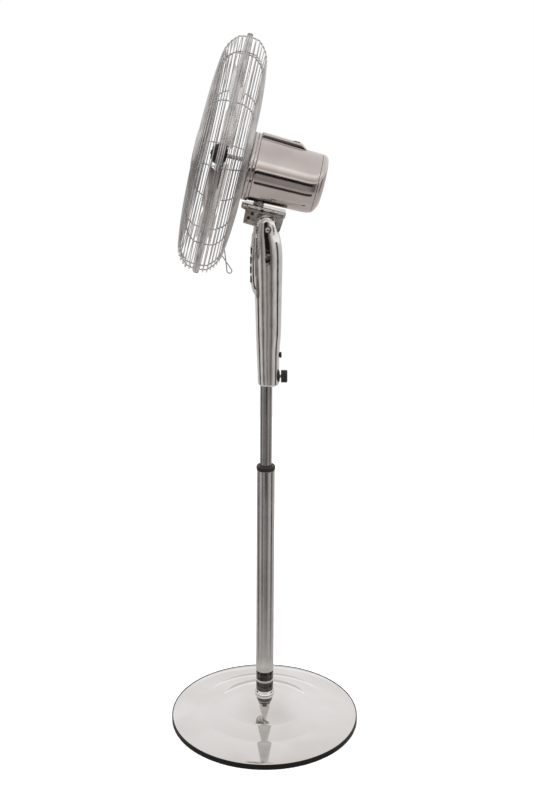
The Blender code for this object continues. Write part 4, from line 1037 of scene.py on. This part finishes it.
@dataclass
class Guard:
    """The two wire halves with their rims, ribs, clips, badge and nut.

    Fields: how deep the front half is at each radius, the rear half's greatest depth, the wire's and the
    rim's radii, the ribs of a half, and how many ring wires a half has.
    """

    curve: tuple[Point2, ...] = ((0, 50.0), (36, 49.5), (90, 47.7), (135, 45.0), (167, 41.4), (187, 37.8), (200, 31.5), (208, 24.0),
                                 (212, 19.8), (215, 0))
    rear_depth: float = 47.4
    wire_r: float = 0.95
    rib_r: float = 1.2
    rim_r: float = 1.7
    ribs: int = 12
    badge_r: float = 36.0
    ring_pitch: float = 7.6

    def depth(self, radius: float, rear: bool) -> float:
        """How far a half stands from the rim's plane at a radius."""
        value = between(radius, self.curve)
        return min(value, self.rear_depth) if rear else value

    def line(self, rear: bool, inner: float) -> list[Point2]:
        """A half's section from its inner ring to its rim, in even steps along its length."""
        fine = [(inner + (215.0 - inner) * (k / 200), 0.0) for k in range(201)]
        fine = [(r, self.depth(r, rear)) for r, _ in fine]
        steps = [0.0]
        for a, b in zip(fine, fine[1:]):
            steps.append(steps[-1] + hypot(b[0] - a[0], b[1] - a[1]))
        count = round((steps[-1] - 5.0) / self.ring_pitch)
        found, at = [], 0
        for k in range(count + 1):
            goal = (steps[-1] - 5.0) * k / count
            while steps[at + 1] < goal:
                at += 1
            share = (goal - steps[at]) / (steps[at + 1] - steps[at])
            a, b = fine[at], fine[at + 1]
            found.append((a[0] + (b[0] - a[0]) * share, a[1] + (b[1] - a[1]) * share))
        return found

    def half(self, name: str, rear: bool, inner: float) -> bpy.types.Mesh:
        """A half: ring wires on the outside of radial ribs, and a thicker rim."""
        side = -1 if rear else 1
        section = self.line(rear, inner)
        runs = []
        for radius, depth in section:
            steps = 96 if radius > 60 else 64
            ring = [Vector((radius * cos(tau * k / steps), radius * sin(tau * k / steps), side * depth)) for k in range(steps)]
            runs.append((ring, self.wire_r, 6, True))
        rim_z = side * (self.rim_r + 0.15)
        runs.append(([Vector((215.0 * cos(tau * k / 144), 215.0 * sin(tau * k / 144), rim_z)) for k in range(144)], self.rim_r, 10, True))
        under = self.wire_r + self.rib_r - 0.4
        for k in range(self.ribs):
            angle = tau * k / self.ribs
            path = []
            for radius, depth in section[:-1]:
                path.append(Vector((radius * cos(angle), radius * sin(angle), side * (depth - under))))
            path.append(Vector((213.6 * cos(angle), 213.6 * sin(angle), side * 12.0)))
            path.append(Vector((213.9 * cos(angle), 213.9 * sin(angle), side * 3.4)))
            runs.append((path, self.rib_r, 8, False))
        return wires(name, runs)

    def build(self, bench: Bench) -> None:
        """Makes both halves, the badge, the nut, the clips and the rear loop."""
        at = bench.head_matrix()
        at.translation = Vector(bench.joint("fan_spin")["pos_m"])
        bench.add("guard_front", self.half("guard_front", False, 30.0), "wire", "head", "guard_wire", ("front_guard",), at)
        bench.add("guard_rear", self.half("guard_rear", True, 46.0), "wire", "head", "guard_wire", ("rear_guard",), at)
        self.badge(bench, at)
        self.clips(bench, at)
        self.loop(bench, at)
        bench.dress("black", "guard_nut")

    def badge(self, bench: Bench, at: Matrix) -> None:
        """The plain plated disc at the guard's centre, domed, with a rolled rim."""
        low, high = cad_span("front_badge", at, 2)
        r = self.badge_r
        disc = rounded([(0, high, 0), (12.0, high - 0.1, 4.0), (r - 8.0, high - 0.9, 3.0), (r - 5.0, high - 1.8, 1.0),
                        (r - 3.4, high - 0.9, 0.8), (r - 0.6, high - 1.4, 0.8), (r, low + 0.8, 0.6), (r - 1.2, low, 0.4), (0, low, 0)], False)
        bench.add("badge_disc", turned("badge_disc", disc, 120, False, 40), "shell", "head", "chrome_plate", ("front_badge",), at)

    def clips(self, bench: Bench, at: Matrix) -> None:
        """Four folded clips, rolled at their back edge, that hook over both rims."""
        for k, (name, angle) in enumerate((("top", 90), ("right", 0), ("bottom", -90), ("left", 180))):
            turn = at @ Matrix.Rotation(radians(angle), 4, "Z")
            low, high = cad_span(f"guard_clip_{k + 1}", turn, 0)
            back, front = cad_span(f"guard_clip_{k + 1}", turn, 2)
            outline = rounded([
                (low - 4.0, back - 0.3, 0.3), (low, back - 0.5, 0.5), (high - 2.6, back - 0.2, 1.4), (high, back + 2.4, 1.6),
                (high - 0.8, 0.6, 1.5), (high, front - 2.4, 1.6), (high - 2.4, front, 1.6), (low, front + 0.3, 0.5),
                (low - 4.0, front + 0.2, 0.3), (low - 4.0, front - 0.7, 0.3), (low + 0.2, front - 0.8, 0.5),
                (low + 0.2, back + 0.6, 0.5), (low - 4.0, back + 0.6, 0.3),
            ], steps=5)
            mesh = slab("clip_skin", outline, -5.0, 5.0)
            place = turn @ Matrix(((1, 0, 0, 0), (0, 0, 1, 0), (0, 1, 0, 0), (0, 0, 0, 1)))
            bench.add(f"clip_{name}_skin", mesh, "wire", "clip_" + name, "guard_wire", (f"guard_clip_{k + 1}",), place)

    def loop(self, bench: Bench, at: Matrix) -> None:
        """The thin wire loop low on the rear half."""
        start, end, tip, bend = Vector((0, -169.0, -42.5)), Vector((0, -179.5, -40.0)), Vector((0, -208.0, -62.0)), 4.5
        along = (tip - (start + end) / 2).normalized()
        side = Vector((0, -along.z, along.y))
        centre = tip - along * bend
        turn = [centre + along * bend * cos(radians(90 - 12 * k)) - side * bend * sin(radians(90 - 12 * k)) for k in range(16)]
        path = [start, *turn, end]
        bench.add("loop_wire", wires("loop_wire", [(path, 1.0, 10, False)]), "wire", "head", "guard_wire", ("rear_loop",), at)


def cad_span(node: str, at: Matrix, axis: int) -> tuple[float, float]:
    """Lowest and highest millimetres of a frame node along one axis of a local frame."""
    back = at.inverted()
    values = [(back @ v.co)[axis] / MM for v in bpy.data.objects[node].data.vertices]
    return min(values), max(values)


# ------------------------------------------------------------------ stage


@dataclass
class Studio:
    """The plain floor, the soft surroundings and the camera.

    Fields: the floor's radius in metres, the camera's place, pitch, roll and lens.
    """

    floor_r: float = 1.9
    eye: Point3 = (2.183, 0.0, 1.3035)
    pitch: float = -10.0
    roll: float = 0.31
    lens: float = 54.7
    shift: float = -0.184

    def build(self) -> None:
        """Makes the floor, the world, the lights and the camera."""
        self.floor()
        self.world()
        self.lights()
        self.camera()

    def floor(self) -> None:
        """A round pale floor."""
        mesh = bpy.data.meshes.new("floor")
        points = [(self.floor_r * cos(tau * k / 96), self.floor_r * sin(tau * k / 96), 0.0) for k in range(96)]
        mesh.from_pydata(points, [], [tuple(range(96))])
        floor = bpy.data.objects.new("floor", mesh)
        bpy.context.scene.collection.objects.link(floor)
        paint = bpy.data.materials.new("matt white floor paint")
        paint.use_nodes = True
        shader = paint.node_tree.nodes["Principled BSDF"]
        shader.inputs["Base Color"].default_value = srgb("f4f2f1")
        shader.inputs["Roughness"].default_value = 0.9
        shader.inputs["Specular IOR Level"].default_value = 0.1
        shader.inputs["Emission Color"].default_value = (1.0, 1.0, 1.0, 1.0)
        shader.inputs["Emission Strength"].default_value = 0.22
        mesh.materials.append(paint)
        floor.visible_glossy = False

    def world(self) -> None:
        """White to the eye; to the fan, a pale room with a darker band below the horizon on one side."""
        world = bpy.data.worlds.new("studio")
        world.use_nodes = True
        tree = world.node_tree
        shade = tree.nodes["Background"]
        place = add_node(tree, "ShaderNodeTexCoord").outputs["Generated"]
        parts = add_node(tree, "ShaderNodeSeparateXYZ", None, Vector=place)
        tall = add_node(tree, "ShaderNodeMapRange", {"From Min": -1.0, "From Max": 1.0}, Value=parts.outputs["Z"])
        sky = ramp(tree, tall.outputs[0], (
            (0.00, "cbc7c5"), (0.30, "d2cecc"), (0.44, "cfcbc9"), (0.492, "dddbda"), (0.500, "ffffff"), (0.535, "ffffff"),
            (0.56, "f2f1f0"), (0.70, "f6f5f5"), (0.85, "f1f0f0"), (1.00, "e8e4e2"),
        ))
        turn = add_node(tree, "ShaderNodeMath", {"operation": "ARCTAN2"}, in0=parts.outputs["Y"], in1=parts.outputs["X"])
        round_about = add_node(tree, "ShaderNodeMapRange", {"From Min": -pi, "From Max": pi}, Value=turn.outputs[0])
        wall = ramp(tree, round_about.outputs[0], ((0.30, "000000"), (0.36, "ffffff"), (0.66, "ffffff"), (0.72, "000000")))
        lit = ramp(tree, tall.outputs[0], ((0.535, "000000"), (0.56, "ffffff"), (0.72, "ffffff"), (0.78, "000000")))
        glow = add_node(tree, "ShaderNodeMath", {"operation": "MULTIPLY"}, in0=wall.outputs[0], in1=lit.outputs[0])
        sky = add_node(tree, "ShaderNodeMixRGB", {"blend_type": "ADD", "Color2": (0.55, 0.54, 0.53, 1.0)}, Fac=glow.outputs[0],
                       Color1=sky.outputs[0])
        strips = ramp(tree, round_about.outputs[0], (
            (0.00, "ffffff"), (0.19, "f4f4f4"), (0.215, "2c2c2c"), (0.25, "3a3a3a"), (0.275, "f0f0f0"), (0.33, "ffffff"),
            (0.36, "b4b2b1"), (0.39, "6a6867"), (0.42, "c4c2c1"), (0.455, "dddbda"), (0.48, "8a8786"), (0.505, "c8c6c5"),
            (0.53, "a09d9c"), (0.56, "757271"), (0.59, "d0cecd"), (0.65, "ffffff"), (0.69, "e8e8e8"), (0.715, "303030"),
            (0.745, "404040"), (0.77, "f4f4f4"), (0.88, "ffffff"),
        ))
        low_band = ramp(tree, tall.outputs[0], ((0.18, "000000"), (0.26, "ffffff"), (0.490, "ffffff"), (0.515, "000000")))
        sky = add_node(tree, "ShaderNodeMixRGB", {"blend_type": "MULTIPLY"}, Fac=low_band.outputs[0], Color1=sky.outputs[0],
                       Color2=strips.outputs[0])
        for around, above in (
            (((0.452, "ffffff"), (0.468, "2e2826"), (0.532, "2e2826"), (0.548, "ffffff")), (0.390, 0.405, 0.484, 0.494)),
            (((0.28, "ffffff"), (0.33, "b3aca9"), (0.67, "b3aca9"), (0.72, "ffffff")), (0.537, 0.550, 0.60, 0.76)),
            (((0.452, "ffffff"), (0.468, "3a3432"), (0.532, "3a3432"), (0.548, "ffffff")), (0.110, 0.125, 0.175, 0.185)),
        ):
            side = ramp(tree, round_about.outputs[0], around)
            level = ramp(tree, tall.outputs[0], tuple(zip(above, ("000000", "ffffff", "ffffff", "000000"))))
            sky = add_node(tree, "ShaderNodeMixRGB", {"blend_type": "MULTIPLY"}, Fac=level.outputs[0],
                           Color1=sky.outputs[0], Color2=side.outputs[0])
        sight = add_node(tree, "ShaderNodeLightPath")
        seen = add_node(tree, "ShaderNodeMixRGB", {"Color2": (1.0, 1.0, 1.0, 1.0)}, Fac=sight.outputs["Is Camera Ray"],
                        Color1=sky.outputs[0])
        tree.links.new(seen.outputs[0], shade.inputs["Color"])
        shade.inputs["Strength"].default_value = 1.0
        bpy.context.scene.world = world
        bpy.context.scene.view_settings.view_transform = "Standard"

    def lights(self) -> None:
        """Two large soft panels and one overhead."""
        for name, spot, size, power in (
            ("key", (1.2, -1.9, 2.3), 1.4, 22.0), ("fill", (1.4, 2.0, 1.6), 1.2, 12.0), ("top", (0.0, 0.0, 3.0), 2.2, 48.0),
        ):
            data = bpy.data.lights.new(name, "AREA")
            data.size = size
            data.energy = power
            lamp = bpy.data.objects.new(name, data)
            lamp.location = spot
            lamp.visible_glossy = False
            lamp.rotation_euler = (Vector((0, 0, 0.6)) - Vector(spot)).to_track_quat("-Z", "Y").to_euler()
            bpy.context.scene.collection.objects.link(lamp)

    def camera(self) -> None:
        """The camera, level with the motor and looking along -X."""
        data = bpy.data.cameras.new("camera")
        data.lens = self.lens
        data.shift_y = self.shift
        camera = bpy.data.objects.new("camera", data)
        turn = Matrix.Rotation(radians(90), 4, "Z") @ Matrix.Rotation(radians(90 + self.pitch), 4, "X")
        camera.matrix_world = Matrix.Translation(self.eye) @ turn @ Matrix.Rotation(radians(self.roll), 4, "Z")
        bpy.context.scene.collection.objects.link(camera)
        bpy.context.scene.camera = camera


def main() -> None:
    """Builds every sub-assembly around the frame, then the stage."""
    logging.basicConfig(level=logging.INFO, format="%(name)s: %(message)s")
    bench = Bench(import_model(), Finishes())
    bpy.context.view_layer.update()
    for part in (Base(), Pole(), Column(), Neck(), Head(), Fan(), Guard()):
        part.build(bench)
    Studio().build()
    LOG.info("%d pieces", bench.count)


if __name__ == "__main__":
    main()
